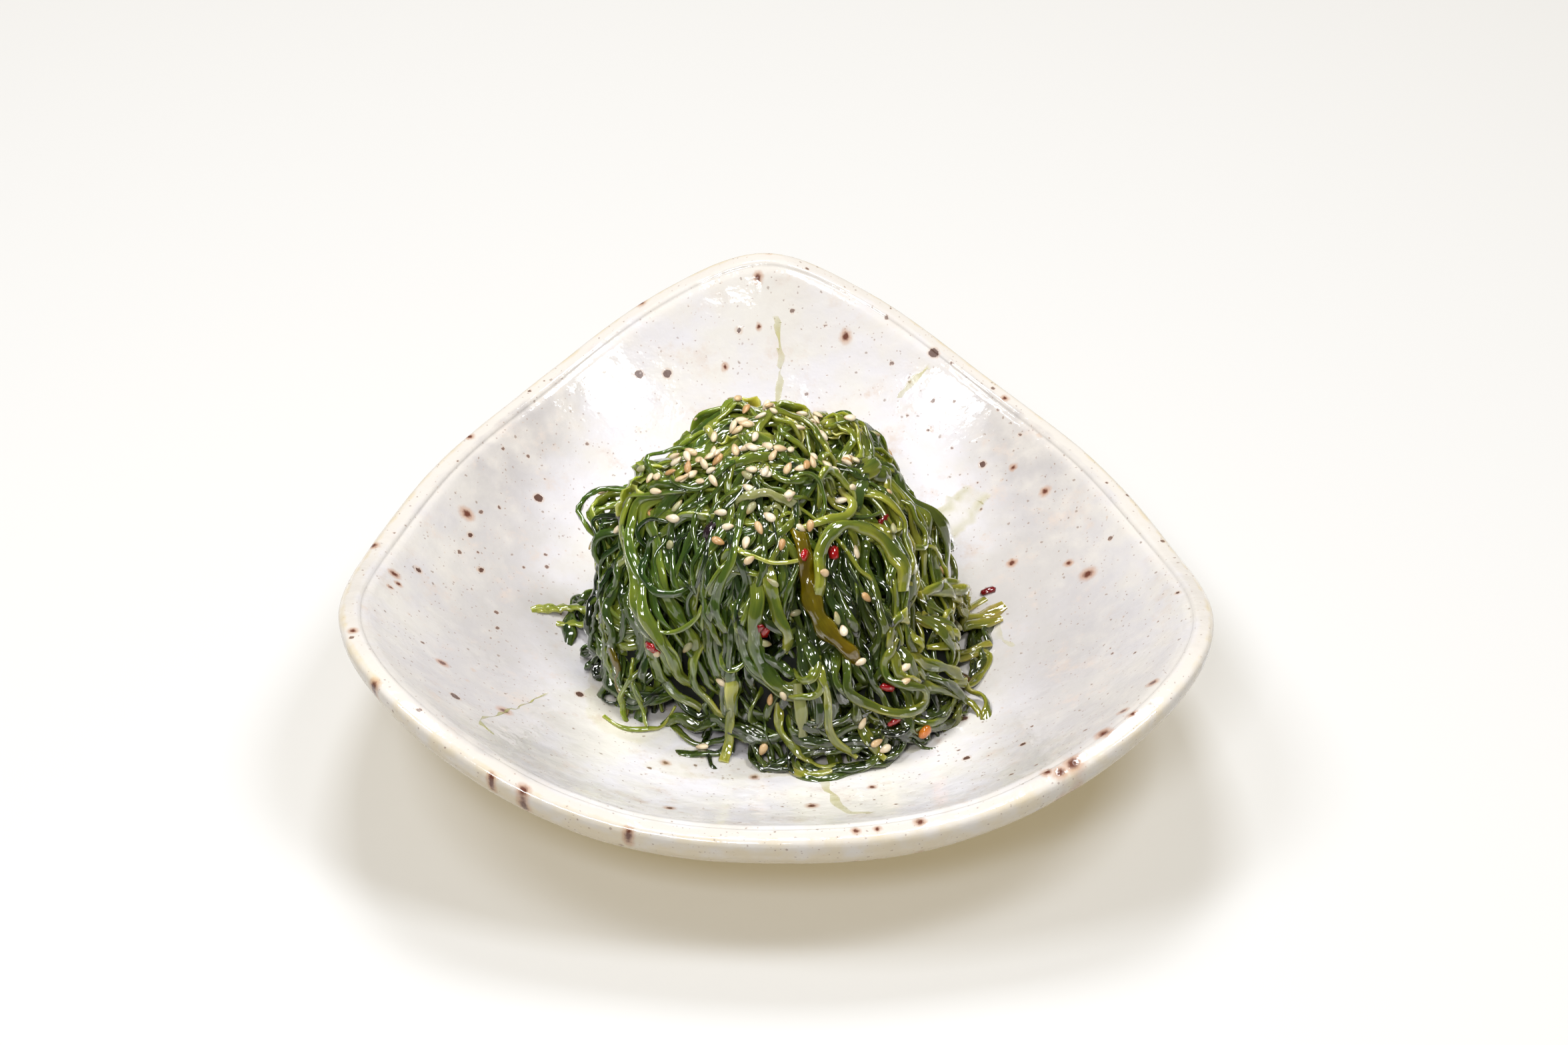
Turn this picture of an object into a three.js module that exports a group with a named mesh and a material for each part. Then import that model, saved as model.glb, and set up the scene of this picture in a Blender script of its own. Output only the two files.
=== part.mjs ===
// A stoneware serving bowl with a mound of seaweed salad in it.
// Millimetres, +Z up. The bowl stands on the plane z = 0, and the origin is under the middle of its outline.
// The rim is a rounded triangle whose three corners are drawn outwards and upwards. One corner lies along +Y.
import * as THREE from "three";

// Bowl: the outline of the rim, seen from above
const RIM_RADIUS = 100.6; // mean distance of the rim's outer edge from the foot's axis
const CORNERS = 3;
const CORNER_REACH = 7.4; // how far the corners stand out from the mean radius
const CORNER_SHARPNESS = 0.9; // second harmonic, which tightens each corner's curve
const CORNER_AZIMUTH = Math.PI / 2; // direction of the first corner

// Bowl: heights above the table
const RIM_HEIGHT = 42; // mean height of the rim
const CORNER_LIFT = 7.9; // how far the corners rise above the mean
const CORNER_LIFT_SHARPNESS = 2.1;
const REAR_PEAK = 3.6; // the rear corner was pinched higher than the other two
const REAR_PEAK_WIDTH = 0.16; // radians from the middle of the peak to where it is down to a third
const FLOOR_HEIGHT = 12; // top of the floor at the middle
const FLOOR_THICKNESS = 7.5;

// Bowl: section of the wall, the rim and the foot
const WALL_CURVE = 2.8; // exponent of the wall's rise: a flat floor that eases into a steep wall
const UNDERSIDE_CURVE = 2.5;
const RIM_WIDTH = 5.4; // width of the rim from its inner to its outer edge
const RIM_DEPTH = 9; // height of the rim's outer face
const RIM_UNDERCUT = 3; // how far the rim's outer face leans in at its lower edge
const RIM_ROUNDING = 1.5; // radius of the rim's two upper edges
const FOOT_RADIUS = 44;
const FOOT_WIDTH = 6.5;
const FOOT_ROUNDING = 1.2;
const FOOT_RECESS = 3.6; // depth of the hollow inside the foot ring

// Salad: the mound of strands, out to its uneven outline
const MOUND_RADIUS = 46.2; // mean radius of the mound's edge on the bowl
const SHOULDER_RADIUS = 48; // the mound's own mean radius above its edge
const SHOULDER_LEAN = 0.11; // share of that radius by which the left shoulder stands out and the right one in
const MOUND_HEIGHT = 67; // above the bowl's floor
const MOUND_TAPER = 1.18; // over 1, the mound narrows more towards its crown than a dome does
const MOUND_CLEARANCE = 0.35; // gap between the salad and the bowl
const SKIRT_THICKNESS = 3.4; // height of the mound's edge where it meets the bowl
const STRAND_RELIEF = 1.1; // depth of the grooves between bundles of strands
const BUNDLE_WIDTH = 12.5; // distance from one groove to the next

// Fineness of the faceted surfaces
const SEGMENTS = 78;
const WALL_STEPS = 9;
const ROUND_STEPS = 3;
const MOUND_STEPS = 20;
const MOUND_UNDER_STEPS = 5;

const STONEWARE = { color: 0xe9e4dc, roughness: 0.22, metalness: 0 };
const SEAWEED = { color: 0x35522a, roughness: 0.2, metalness: 0 };

/** A wave with one crest at each corner of the rim, sharpened by its second harmonic. */
function cornerWave(azimuth, height, sharpness) {
  const turn = CORNERS * (azimuth - CORNER_AZIMUTH);
  return height * Math.cos(turn) + sharpness * Math.cos(2 * turn);
}

/** Distance of the rim's outer edge from the foot's axis. */
function rimRadius(azimuth) {
  return RIM_RADIUS + cornerWave(azimuth, CORNER_REACH, CORNER_SHARPNESS);
}

/** Height of the rim's top above the table. */
function rimHeight(azimuth) {
  const peak = REAR_PEAK * Math.exp(-(((azimuth - CORNER_AZIMUTH) / REAR_PEAK_WIDTH) ** 2));
  return RIM_HEIGHT + cornerWave(azimuth, CORNER_LIFT, CORNER_LIFT_SHARPNESS) + peak;
}

/** Height of the bowl's inner surface at a radius. */
function innerHeight(azimuth, radius) {
  const share = Math.min(1, radius / (rimRadius(azimuth) - RIM_WIDTH));
  return FLOOR_HEIGHT + (rimHeight(azimuth) - FLOOR_HEIGHT) * share ** WALL_CURVE;
}

/** Height of the bowl's underside at a radius outside the foot. */
function underHeight(azimuth, radius) {
  const base = FLOOR_HEIGHT - FLOOR_THICKNESS;
  const share = radius / (rimRadius(azimuth) - RIM_UNDERCUT);
  return base + (rimHeight(azimuth) - RIM_DEPTH - base) * share ** UNDERSIDE_CURVE;
}

/** Points of an arc in a section, as [radius, height] pairs. */
function arc(radius, height, size, from, to, steps = ROUND_STEPS) {
  return Array.from({ length: steps + 1 }, (_, i) => {
    const angle = from + ((to - from) * i) / steps;
    return [radius + size * Math.cos(angle), height + size * Math.sin(angle)];
  });
}

/** Evenly spaced values from one number to another, both included. */
function spaced(from, to, steps) {
  return Array.from({ length: steps + 1 }, (_, i) => from + ((to - from) * i) / steps);
}

/** The bowl's section at an azimuth, from the middle of its underside round the rim to its floor's middle. */
function bowlSection(azimuth) {
  const outer = rimRadius(azimuth);
  const inner = outer - RIM_WIDTH;
  const top = rimHeight(azimuth);
  const footInner = FOOT_RADIUS - FOOT_WIDTH;
  const round = FOOT_ROUNDING;
  const quarter = Math.PI / 2;
  const foot = [
    [footInner / 2, FOOT_RECESS],
    [footInner - 1, FOOT_RECESS],
    ...arc(footInner + round, round, round, 2 * quarter, 3 * quarter, 2),
    ...arc(FOOT_RADIUS - round, round, round, -quarter, 0, 2),
  ];
  const underRadii = spaced(FOOT_RADIUS, outer - RIM_UNDERCUT, WALL_STEPS);
  const underside = underRadii.map((r) => [r, underHeight(azimuth, r)]);
  const rim = [
    [outer - RIM_UNDERCUT / 4, top - RIM_DEPTH / 2],
    ...arc(outer - RIM_ROUNDING, top - RIM_ROUNDING, RIM_ROUNDING, 0, quarter),
    ...arc(inner + RIM_ROUNDING, top - RIM_ROUNDING, RIM_ROUNDING, quarter, 1.8 * quarter),
  ];
  const lip = inner - RIM_ROUNDING;
  const inside = spaced(lip, 0, WALL_STEPS + 1).slice(0, -1).map((r) => [r, innerHeight(azimuth, r)]);
  return [[0, FOOT_RECESS], ...foot, ...underside, ...rim, ...inside, [0, FLOOR_HEIGHT]];
}

/** Distance of the mound's edge from the foot's axis. It spreads to the right and front, and is tufted. */
function moundEdge(azimuth) {
  const lean = 0.1 * Math.cos(azimuth + 0.64);
  const lobes = 0.1 * Math.cos(3 * azimuth + 2.67);
  const tufts = 0.02 * Math.sin(7 * azimuth + 0.7) + 0.014 * Math.cos(13 * azimuth);
  return MOUND_RADIUS * (1 + lean + lobes + tufts);
}

/** Radius of the mound's shoulder, which is fuller on the left. */
function shoulderRadius(azimuth) {
  return SHOULDER_RADIUS * (1 - SHOULDER_LEAN * Math.cos(azimuth - 0.2));
}

/** How far the mound stands out at a point: bundles draped from back to front, crossed by broader folds. */
function strandRelief(x, y, z) {
  const turn = (2 * Math.PI) / BUNDLE_WIDTH;
  const draped = Math.sin(turn * (x + 0.35 * z + 4 * Math.sin(y / 13)));
  const folded = Math.sin(0.72 * turn * (0.9 * y - 0.5 * x + 0.6 * z + 3 * Math.sin(x / 10)));
  return STRAND_RELIEF * (draped + 0.7 * folded);
}

/** The mound's section at an azimuth, from the middle of its underside to its crown. */
function moundSection(azimuth) {
  const edge = moundEdge(azimuth);
  const shoulder = shoulderRadius(azimuth);
  const rest = (radius) => innerHeight(azimuth, radius) + MOUND_CLEARANCE;
  const under = spaced(0, edge, MOUND_UNDER_STEPS).map((r) => [r, rest(r)]);
  const skirt = rest(edge) + SKIRT_THICKNESS;
  const crown = FLOOR_HEIGHT + MOUND_HEIGHT;
  const flank = spaced(0, Math.PI / 2, MOUND_STEPS).map((rise) => {
    const reach = shoulder + (edge - shoulder) * Math.cos(rise) ** 3;
    const radius = reach * Math.cos(rise);
    const height = skirt + (crown - skirt) * Math.sin(rise) ** MOUND_TAPER;
    const bundles = strandRelief(radius * Math.cos(azimuth), radius * Math.sin(azimuth), height);
    const relief = bundles * Math.min(1, 3 * rise);
    return [radius + relief * Math.cos(rise), height + relief * Math.sin(rise)];
  });
  return [...under, ...flank];
}

/** A closed surface whose section may change with the azimuth. Each section starts and ends on the axis. */
function turned(sectionAt) {
  const sections = spaced(0, 2 * Math.PI, SEGMENTS).slice(0, -1).map(sectionAt);
  const last = sections[0].length - 1;
  const rings = last - 1; // points of a section that lie off the axis
  const positions = [0, 0, sections[0][0][1]];
  sections.forEach((section, s) => {
    const azimuth = (2 * Math.PI * s) / SEGMENTS;
    for (const [radius, height] of section.slice(1, last))
      positions.push(radius * Math.cos(azimuth), radius * Math.sin(azimuth), height);
  });
  positions.push(0, 0, sections[0][last][1]);
  const top = 1 + SEGMENTS * rings;
  const at = (s, k) => 1 + (s % SEGMENTS) * rings + k;
  const index = [];
  for (let s = 0; s < SEGMENTS; s += 1) {
    index.push(0, at(s + 1, 0), at(s, 0));
    for (let k = 0; k < rings - 1; k += 1) {
      index.push(at(s, k), at(s + 1, k), at(s + 1, k + 1));
      index.push(at(s, k), at(s + 1, k + 1), at(s, k + 1));
    }
    index.push(at(s, rings - 1), at(s + 1, rings - 1), top);
  }
  const geometry = new THREE.BufferGeometry();
  geometry.setAttribute("position", new THREE.Float32BufferAttribute(positions, 3));
  geometry.setIndex(index);
  geometry.computeVertexNormals();
  return geometry;
}

/** A named mesh of one closed surface. */
function piece(name, sectionAt, finish) {
  const mesh = new THREE.Mesh(turned(sectionAt), new THREE.MeshStandardMaterial(finish));
  mesh.name = name;
  return mesh;
}

const dish = new THREE.Group();
dish.add(piece("bowl", bowlSection, STONEWARE));
dish.add(piece("seaweed", moundSection, SEAWEED));

// The foot's axis is set off so that the origin lies under the middle of the outline.
const outline = new THREE.Box3().setFromObject(dish.children[0], true);
const middle = outline.getCenter(new THREE.Vector3());
dish.position.set(-middle.x, -middle.y, 0);

export default dish;
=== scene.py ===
"""Looks of a bowl of seaweed salad: stoneware, a heap of dressed strands, sesame, chilli and dressing.

Plans and sizes are in millimetres and degrees. They become metres where a mesh is made.
Every place on the heap is given by its azimuth about the bowl's axis and its drop from the heap's crown:
0 is the crown, 90 is the heap's edge, and more than 90 lies out on the bowl.
"""

import logging
import math
from collections.abc import Sequence
from dataclasses import dataclass, replace
from enum import Enum

import bmesh
import bpy
import numpy as np
from mathutils import Matrix, Vector


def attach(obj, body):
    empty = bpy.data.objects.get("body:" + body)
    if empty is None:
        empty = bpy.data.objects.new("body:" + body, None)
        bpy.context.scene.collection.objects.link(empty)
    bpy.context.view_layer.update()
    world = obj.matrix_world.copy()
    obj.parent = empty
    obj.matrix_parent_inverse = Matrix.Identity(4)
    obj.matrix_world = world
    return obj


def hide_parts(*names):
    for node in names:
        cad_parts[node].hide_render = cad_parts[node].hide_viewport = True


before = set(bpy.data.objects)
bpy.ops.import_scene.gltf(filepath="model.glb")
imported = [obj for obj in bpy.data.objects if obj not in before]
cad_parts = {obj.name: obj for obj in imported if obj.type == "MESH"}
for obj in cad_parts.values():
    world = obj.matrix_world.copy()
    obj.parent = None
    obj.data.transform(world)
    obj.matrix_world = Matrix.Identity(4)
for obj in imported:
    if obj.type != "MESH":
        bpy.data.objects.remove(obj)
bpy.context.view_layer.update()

MM = 0.001
AXIS_Y = -7.34  # the foot's axis, which all plans are about, lies this far along Y in the CAD's frame
EDGE = 90  # drop at the heap's edge
WELD = 2e-5  # metres: points of the bowl that lie nearer than this are one point

Array = np.ndarray
Tree, Material = bpy.types.NodeTree, bpy.types.Material
Mesh, Thing = bpy.types.Mesh, bpy.types.Object
Place = tuple[float, float]
Span = tuple[float, float]

log = logging.getLogger("salad")


def colour(code: str) -> tuple[float, float, float, float]:
    """Turns an sRGB hex colour, six digits after a hash sign, to linear with an alpha of 1."""
    parts = [int(code[i : i + 2], 16) / 255 for i in (1, 3, 5)]
    linear = [c / 12.92 if c <= 0.04045 else ((c + 0.055) / 1.055) ** 2.4 for c in parts]
    return (linear[0], linear[1], linear[2], 1.0)


@dataclass(frozen=True)
class Wire:
    """One output of a node. Sums of wires and numbers add the nodes that work them out."""

    tree: Tree
    node: bpy.types.Node
    output: int | str = 0

    def out(self, output: int | str) -> "Wire":
        """Picks another output of the same node."""
        return replace(self, output=output)

    def math(self, operation: str, *others: object, clamp: bool = False) -> "Wire":
        """Adds a Math node that takes this value first."""
        inputs = dict(enumerate((self, *others)))
        return add_node(self.tree, "ShaderNodeMath", inputs, operation=operation, use_clamp=clamp)

    def vector(self, operation: str, other: object) -> "Wire":
        """Adds a Vector Math node on this vector and another one, or, to scale it, a number."""
        place = 3 if operation == "SCALE" else 1
        return add_node(self.tree, "ShaderNodeVectorMath", {0: self, place: other}, operation=operation)

    def __add__(self, other: object) -> "Wire":
        """Adds."""
        return self.math("ADD", other)

    def __sub__(self, other: object) -> "Wire":
        """Subtracts."""
        return self.math("SUBTRACT", other)

    def __mul__(self, other: object) -> "Wire":
        """Multiplies."""
        return self.math("MULTIPLY", other)

    def __truediv__(self, other: object) -> "Wire":
        """Divides."""
        return self.math("DIVIDE", other)

    def mapped(self, low: float, high: float, start: float = 0.0, end: float = 1.0,
               soft: bool = False) -> "Wire":
        """Maps this value from low and high to start and end, and stays between them."""
        kind = "SMOOTHSTEP" if soft else "LINEAR"
        inputs = {0: self, 1: low, 2: high, 3: start, 4: end}
        return add_node(self.tree, "ShaderNodeMapRange", inputs, interpolation_type=kind)

    def blend(self, first: "Wire | str", second: "Wire | str") -> "Wire":
        """Blends two colours, of which this value is the share of the second one."""
        ends = {key: colour(end) if isinstance(end, str) else end for key, end in ((6, first), (7, second))}
        return add_node(self.tree, "ShaderNodeMix", {0: self} | ends, data_type="RGBA").out(2)


def add_node(tree: Tree, kind: str, inputs: dict | None = None, **settings: object) -> Wire:
    """Adds one node to a tree.

    Args:
        tree: the tree that gets the node.
        kind: the node's type.
        inputs: the value, or the wire that feeds it, for an input's name or number.
        settings: the node's own settings by name.

    Returns:
        The node's first output.
    """
    node = tree.nodes.new(kind)
    for name, value in settings.items():
        setattr(node, name, value)
    for key, value in (inputs or {}).items():
        if isinstance(value, Wire):
            tree.links.new(value.node.outputs[value.output], node.inputs[key])
        else:
            node.inputs[key].default_value = value
    return Wire(tree, node)


def noise(at: Wire, scale: float, detail: float = 2.0, roughness: float = 0.5) -> Wire:
    """Adds cloudy noise that has so many bumps to a unit of its vector."""
    inputs = {"Vector": at, "Scale": scale, "Detail": detail, "Roughness": roughness}
    return add_node(at.tree, "ShaderNodeTexNoise", inputs)


def bump(height: Wire, depth: float, below: Wire | None = None, strength: float = 1.0,
         sunk: bool = False) -> Wire:
    """Turns a height to relief of a depth in millimetres, on top of the relief below it, if there is any."""
    inputs = {"Strength": strength, "Distance": depth * MM, "Height": height}
    if below is not None:
        inputs["Normal"] = below
    return add_node(height.tree, "ShaderNodeBump", inputs, invert=sunk)


def graded(level: Wire, stops: Sequence[tuple[float, str]]) -> Wire:
    """Colours a level by pairs of a position and a hex colour."""
    ramp = add_node(level.tree, "ShaderNodeValToRGB", {0: level})
    elements = ramp.node.color_ramp.elements
    while len(elements) < len(stops):
        elements.new(0.5)
    for element, (position, code) in zip(elements, stops):
        element.position = position
        element.color = colour(code)
    return ramp


def mark(tree: Tree, name: str) -> Wire:
    """Reads a mark of the mesh in a material, as a number."""
    return add_node(tree, "ShaderNodeAttribute", attribute_name=name).out("Fac")


def empty_material(name: str) -> tuple[Material, Tree, Wire]:
    """Makes a material with no nodes but one that gives places on the object, in metres."""
    material = bpy.data.materials.new(name)
    material.use_nodes = True
    tree = material.node_tree
    tree.nodes.clear()
    return material, tree, add_node(tree, "ShaderNodeTexCoord").out("Object")


def end_material(tree: Tree, inputs: dict) -> None:
    """Ends a material in one Principled surface."""
    surface = add_node(tree, "ShaderNodeBsdfPrincipled", inputs)
    add_node(tree, "ShaderNodeOutputMaterial", {"Surface": surface})


def named(tree: Tree, *names: str, kind: str = "FLOAT") -> list[Wire]:
    """Reads marks of the mesh in a Geometry Nodes tree."""
    reader = "GeometryNodeInputNamedAttribute"
    return [add_node(tree, reader, {"Name": name}, data_type=kind) for name in names]


def stored(shape: Wire, name: str, value: Wire, kind: str = "FLOAT") -> Wire:
    """Writes a mark on a shape in a Geometry Nodes tree."""
    inputs = {"Geometry": shape, "Name": name, "Value": value}
    return add_node(shape.tree, "GeometryNodeStoreNamedAttribute", inputs, data_type=kind)


def start_tree(name: str, settings: dict) -> tuple[Tree, Wire]:
    """Starts a Geometry Nodes tree.

    Args:
        name: the tree's name.
        settings: the value of each named input, whose type tells the type of its socket.

    Returns:
        The tree and its Group Input node.
    """
    tree = bpy.data.node_groups.new(name, "GeometryNodeTree")
    tree.interface.new_socket("Geometry", in_out="INPUT", socket_type="NodeSocketGeometry")
    for label, value in settings.items():
        kind = f"NodeSocket{type(value).__name__.title()}"
        tree.interface.new_socket(label, in_out="INPUT", socket_type=kind)
    tree.interface.new_socket("Geometry", in_out="OUTPUT", socket_type="NodeSocketGeometry")
    return tree, add_node(tree, "NodeGroupInput")


def end_tree(given: Wire, shape: Wire) -> Tree:
    """Ends a tree in smooth shading, real geometry and the material from its Material input."""
    tree = shape.tree
    smooth = add_node(tree, "GeometryNodeSetShadeSmooth", {"Geometry": shape})
    real = add_node(tree, "GeometryNodeRealizeInstances", {"Geometry": smooth})
    finished = {"Geometry": real, "Material": given.out("Material")}
    add_node(tree, "NodeGroupOutput", {"Geometry": add_node(tree, "GeometryNodeSetMaterial", finished)})
    return tree


def grown(name: str, source: Mesh, tree: Tree, settings: dict, spent: Sequence[str] = ()) -> Thing:
    """Runs a tree on a mesh and keeps its result as a plain mesh.

    Args:
        name: the new piece's name.
        source: the mesh that the tree starts from.
        tree: the Geometry Nodes tree.
        settings: the value of each named input.
        spent: marks that only the tree needed.

    Returns:
        The new object.
    """
    piece = placed(name, source)
    modifier = piece.modifiers.new("grow", "NODES")
    modifier.node_group = tree
    sockets = {item.name: item.identifier for item in tree.interface.items_tree if item.in_out == "INPUT"}
    for label, value in settings.items():
        modifier[sockets[label]] = value
    layers = bpy.context.evaluated_depsgraph_get()
    whole = piece.evaluated_get(layers)
    mesh = bpy.data.meshes.new_from_object(whole, preserve_all_data_layers=True, depsgraph=layers)
    piece.modifiers.clear()
    piece.data = mesh
    mesh.name = name
    bpy.data.meshes.remove(source)
    for label in spent:
        if label in mesh.attributes:
            mesh.attributes.remove(mesh.attributes[label])
    return piece


def placed(name: str, data: bpy.types.ID) -> Thing:
    """Puts data into the scene as an object."""
    thing = bpy.data.objects.new(name, data)
    bpy.context.scene.collection.objects.link(thing)
    return thing


def raw_mesh(name: str, points: Array, edges: Array | None = None, faces: Sequence | None = None,
             marks: dict[str, Array] | None = None) -> Mesh:
    """Makes a mesh from a plan in millimetres about the foot's axis.

    Args:
        name: the mesh's name.
        points: one row for each point.
        edges: pairs of point numbers.
        faces: rings of point numbers.
        marks: named rows of one or three numbers for the points.

    Returns:
        The mesh, in metres in the CAD's frame.
    """
    mesh = bpy.data.meshes.new(name)
    metres = (np.asarray(points, float) + (0.0, AXIS_Y, 0.0)) * MM
    mesh.from_pydata(metres.tolist(), [] if edges is None else edges.tolist(), faces or [])
    for label, values in (marks or {}).items():
        vector = np.ndim(values) == 2
        layer = mesh.attributes.new(label, "FLOAT_VECTOR" if vector else "FLOAT", "POINT")
        layer.data.foreach_set("vector" if vector else "value", np.asarray(values, np.float32).ravel())
    return mesh


def solid_piece(mesh: Mesh, finish: Material) -> Thing:
    """Makes a smooth piece from a finished mesh, under the mesh's name."""
    mesh.shade_smooth()
    mesh.materials.append(finish)
    return placed(mesh.name, mesh)


def closed_faces(rings: int, sides: int) -> list[tuple[int, ...]]:
    """Closes rings of points between a first and a last single point.

    Args:
        rings: how many rings there are.
        sides: points in each ring.

    Returns:
        The faces, which look outwards where the rings turn anticlockwise seen from the first point.
    """
    last, faces = rings * sides + 1, []
    for k in range(sides):
        n = (k + 1) % sides
        faces.append((0, 1 + k, 1 + n))
        faces.append((last, last - sides + n, last - sides + k))
        for a in range(1, last - sides, sides):
            faces.append((a + k, a + sides + k, a + sides + n, a + n))
    return faces


def hand_over(piece: Thing, node: str) -> None:
    """Puts a finished piece on the body that it rides on, and hides the CAD node that it stands in for."""
    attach(piece, "root")
    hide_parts(node)
    log.info("%s: %d faces", piece.name, len(piece.data.polygons))


def smooth_path(knots: Array, samples: int = 12) -> Array:
    """Draws a Catmull-Rom curve through rows of knots, with so many samples on each span."""
    rows = np.asarray(knots, float)
    ends = np.vstack([2 * rows[0] - rows[1], rows, 2 * rows[-1] - rows[-2]])
    t = np.linspace(0, 1, samples, endpoint=False)[:, None]
    spans = []
    for a, b, c, d in zip(ends, ends[1:], ends[2:], ends[3:]):
        spans.append(b + 0.5 * t * (c - a + t * (2 * a - 5 * b + 4 * c - d + t * (3 * (b - c) + d - a))))
    return np.vstack(spans + [rows[-1:]])


def drift(rng: np.random.Generator, count: int, turns: float) -> Array:
    """Makes a row of smooth random values of about unit spread that swing so many times."""
    knots = rng.normal(0, 1, (max(3, round(2 * turns) + 2), 1))
    curve = smooth_path(knots)[:, 0]
    return np.interp(np.linspace(0, len(curve) - 1, count), np.arange(len(curve)), curve)


def smoothstep(low: float, high: float, value: Array) -> Array:
    """Eases from 0 at low to 1 at high."""
    t = np.clip((value - low) / (high - low), 0, 1)
    return t * t * (3 - 2 * t)


def widened(values: Array) -> Array:
    """Repeats the first and the last value, so that every value has two neighbours."""
    return np.concatenate([values[:1], values, values[-1:]])


def blurred(values: Array, passes: int) -> Array:
    """Evens out values along a strand, with both ends kept in line."""
    for _ in range(passes):
        wide = widened(values)
        values = 0.25 * wide[:-2] + 0.5 * wide[1:-1] + 0.25 * wide[2:]
    return values


def from_polar(azimuth: Array, distance: Array) -> Array:
    """Turns azimuths in degrees and distances to flat rows of X and Y."""
    turn = np.radians(azimuth)
    return np.stack([distance * np.cos(turn), distance * np.sin(turn)], axis=1)


def unit(rows: Array) -> Array:
    """Gives each row a length of 1."""
    return rows / np.linalg.norm(rows, axis=-1, keepdims=True)


# ------------------------------ finishes


@dataclass(frozen=True)
class Specks:
    """Iron grains of one size that burnt through a glaze."""

    spacing: float  # mean distance between places where a grain can be
    radius: float
    share: float  # of the places that hold a grain
    stain: str
    strength: float


@dataclass(frozen=True)
class StonewareGlaze:
    """Milky feldspar glaze over speckled stoneware: glossy, rippled, cream where it runs thin."""

    milk: str = "#D6D3D6"
    cream: str = "#DAD6CE"
    lean: str = "#AAA5A3"  # painted shade: darker on the two long sides and behind, where the walls get less light
    blush: str = "#C4B5AA"  # where iron in the clay warms it
    thin: str = "#CBC5BD"  # over the rim
    body: str = "#C9BCA2"  # the bare clay
    halo: str = "#B99A80"  # faint ring that a small grain leaves
    rust: str = "#A87650"  # broad ring round a large spot
    iron: str = "#542414"
    specks: tuple[Specks, ...] = (
        Specks(13.0, 1.15, 0.55, "#4B2B1D", 0.95), Specks(5.2, 0.55, 0.38, "#57382A", 0.8),
        Specks(2.3, 0.3, 0.42, "#6F645C", 0.55), Specks(1.2, 0.2, 0.45, "#857C7C", 0.55),
    )
    spots: tuple[tuple[float, float, float], ...] = (  # azimuth, distance from the foot's axis, radius
        (-179, 91, 0.9), (-177, 90, 0.6), (158, 81, 1.1), (144, 93, 0.8), (152, 95, 0.6), (-159, 84, 0.9),
        (-175, 92, 0.5), (20, 64, 0.8), (7, 78, 1.2), (30, 80, 0.8), (91, 101, 0.8), (77, 93, 0.9),
        (-96, 52, 0.8), (-84, 69, 1), (-119, 54, 0.8), (-109, 78, 0.9), (-70, 63, 0.7), (-147, 76, 1.1),
        (12, 75, 0.7), (39, 80, 0.6), (91, 92, 0.5), (97, 85, 0.6),
        # on the rim
        (175, 97, 1), (-148, 109, 1.1), (-159, 105, 0.8), (-125, 101, 1), (-129, 103.5, 0.7),
        (-77, 92, 0.6), (-71, 93, 0.9), (-80, 91.5, 0.7), (-111, 97, 0.9), (-50, 101, 1.5),
        (-52, 100.5, 1.1), (-53, 98, 0.9), (-44, 100.5, 1.2), (-40, 103, 0.8), (-39, 99.5, 0.8),
        (-33, 101, 0.9), (49, 93, 0.7), (108, 104, 0.9),
    )

    def coat(self, at: Wire) -> Wire:
        """Mixes the glaze's own colours.

        Args:
            at: places in millimetres.

        Returns:
            The colour: milky, darkened by painted shade on the two long sides and behind, warmer where the
                clay
            blushes, thin at the rim and bare clay at the foot.
        """
        clouds = noise(at, 0.035, 5.0, 0.62)
        shade = clouds.mapped(0.4, 0.62, soft=True).blend(self.milk, self.cream)
        x = add_node(at.tree, "ShaderNodeSeparateXYZ", {0: at})
        # painted shade: the lower side walls and the back are darkened towards the lean colour, where less
        # light falls
        aside = clouds.math("MULTIPLY_ADD", 30.0, x.math("ABSOLUTE"))
        upper = aside.mapped(84.0, 116.0, end=0.55, soft=True)
        sides = aside.mapped(52.0, 80.0, end=0.8, soft=True).math("SUBTRACT", upper, clamp=True)
        rear = x.out(1).mapped(25.0, 75.0, end=0.3)
        shade = sides.math("ADD", rear, clamp=True).blend(shade, self.lean)
        shade = noise(at, 0.11, 6.0, 0.7).mapped(0.52, 0.74, end=0.8, soft=True).blend(shade, self.blush)
        edge = mark(at.tree, "place") + noise(at, 0.16, 4.0)
        shade = edge.mapped(1.2, 1.9, soft=True).blend(shade, self.thin)
        return edge.mapped(2.35, 2.75, soft=True).blend(shade, self.body)

    def speckled(self, shade: Wire, at: Wire) -> tuple[Wire, Wire]:
        """Burns small grains of iron through the glaze.

        Args:
            shade: the colour of the glaze.
            at: slightly shaken places in millimetres, so that no grain is a true disc.

        Returns:
            The colour with its grains, and the depth of their pits.
        """
        pits = None
        for grain in self.specks:
            cell = add_node(at.tree, "ShaderNodeTexVoronoi", {"Vector": at, "Scale": 1 / grain.spacing})
            chance = add_node(at.tree, "ShaderNodeSeparateColor", {0: cell.out("Color")})
            there = chance.math("LESS_THAN", grain.share)
            size = grain.radius / grain.spacing
            inside = chance.out(1).mapped(0.0, 1.0, 0.45 * size, 1.25 * size) * there - cell
            spot = inside.mapped(0.0, 0.12 * size, end=grain.strength)
            ring = inside.mapped(-0.54 * size, 0.0, end=0.45 * grain.strength, soft=True) * there
            shade = spot.blend(ring.blend(shade, self.halo), grain.stain)
            pits = spot if pits is None else pits.math("MAXIMUM", spot)
        return shade, pits

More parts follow.
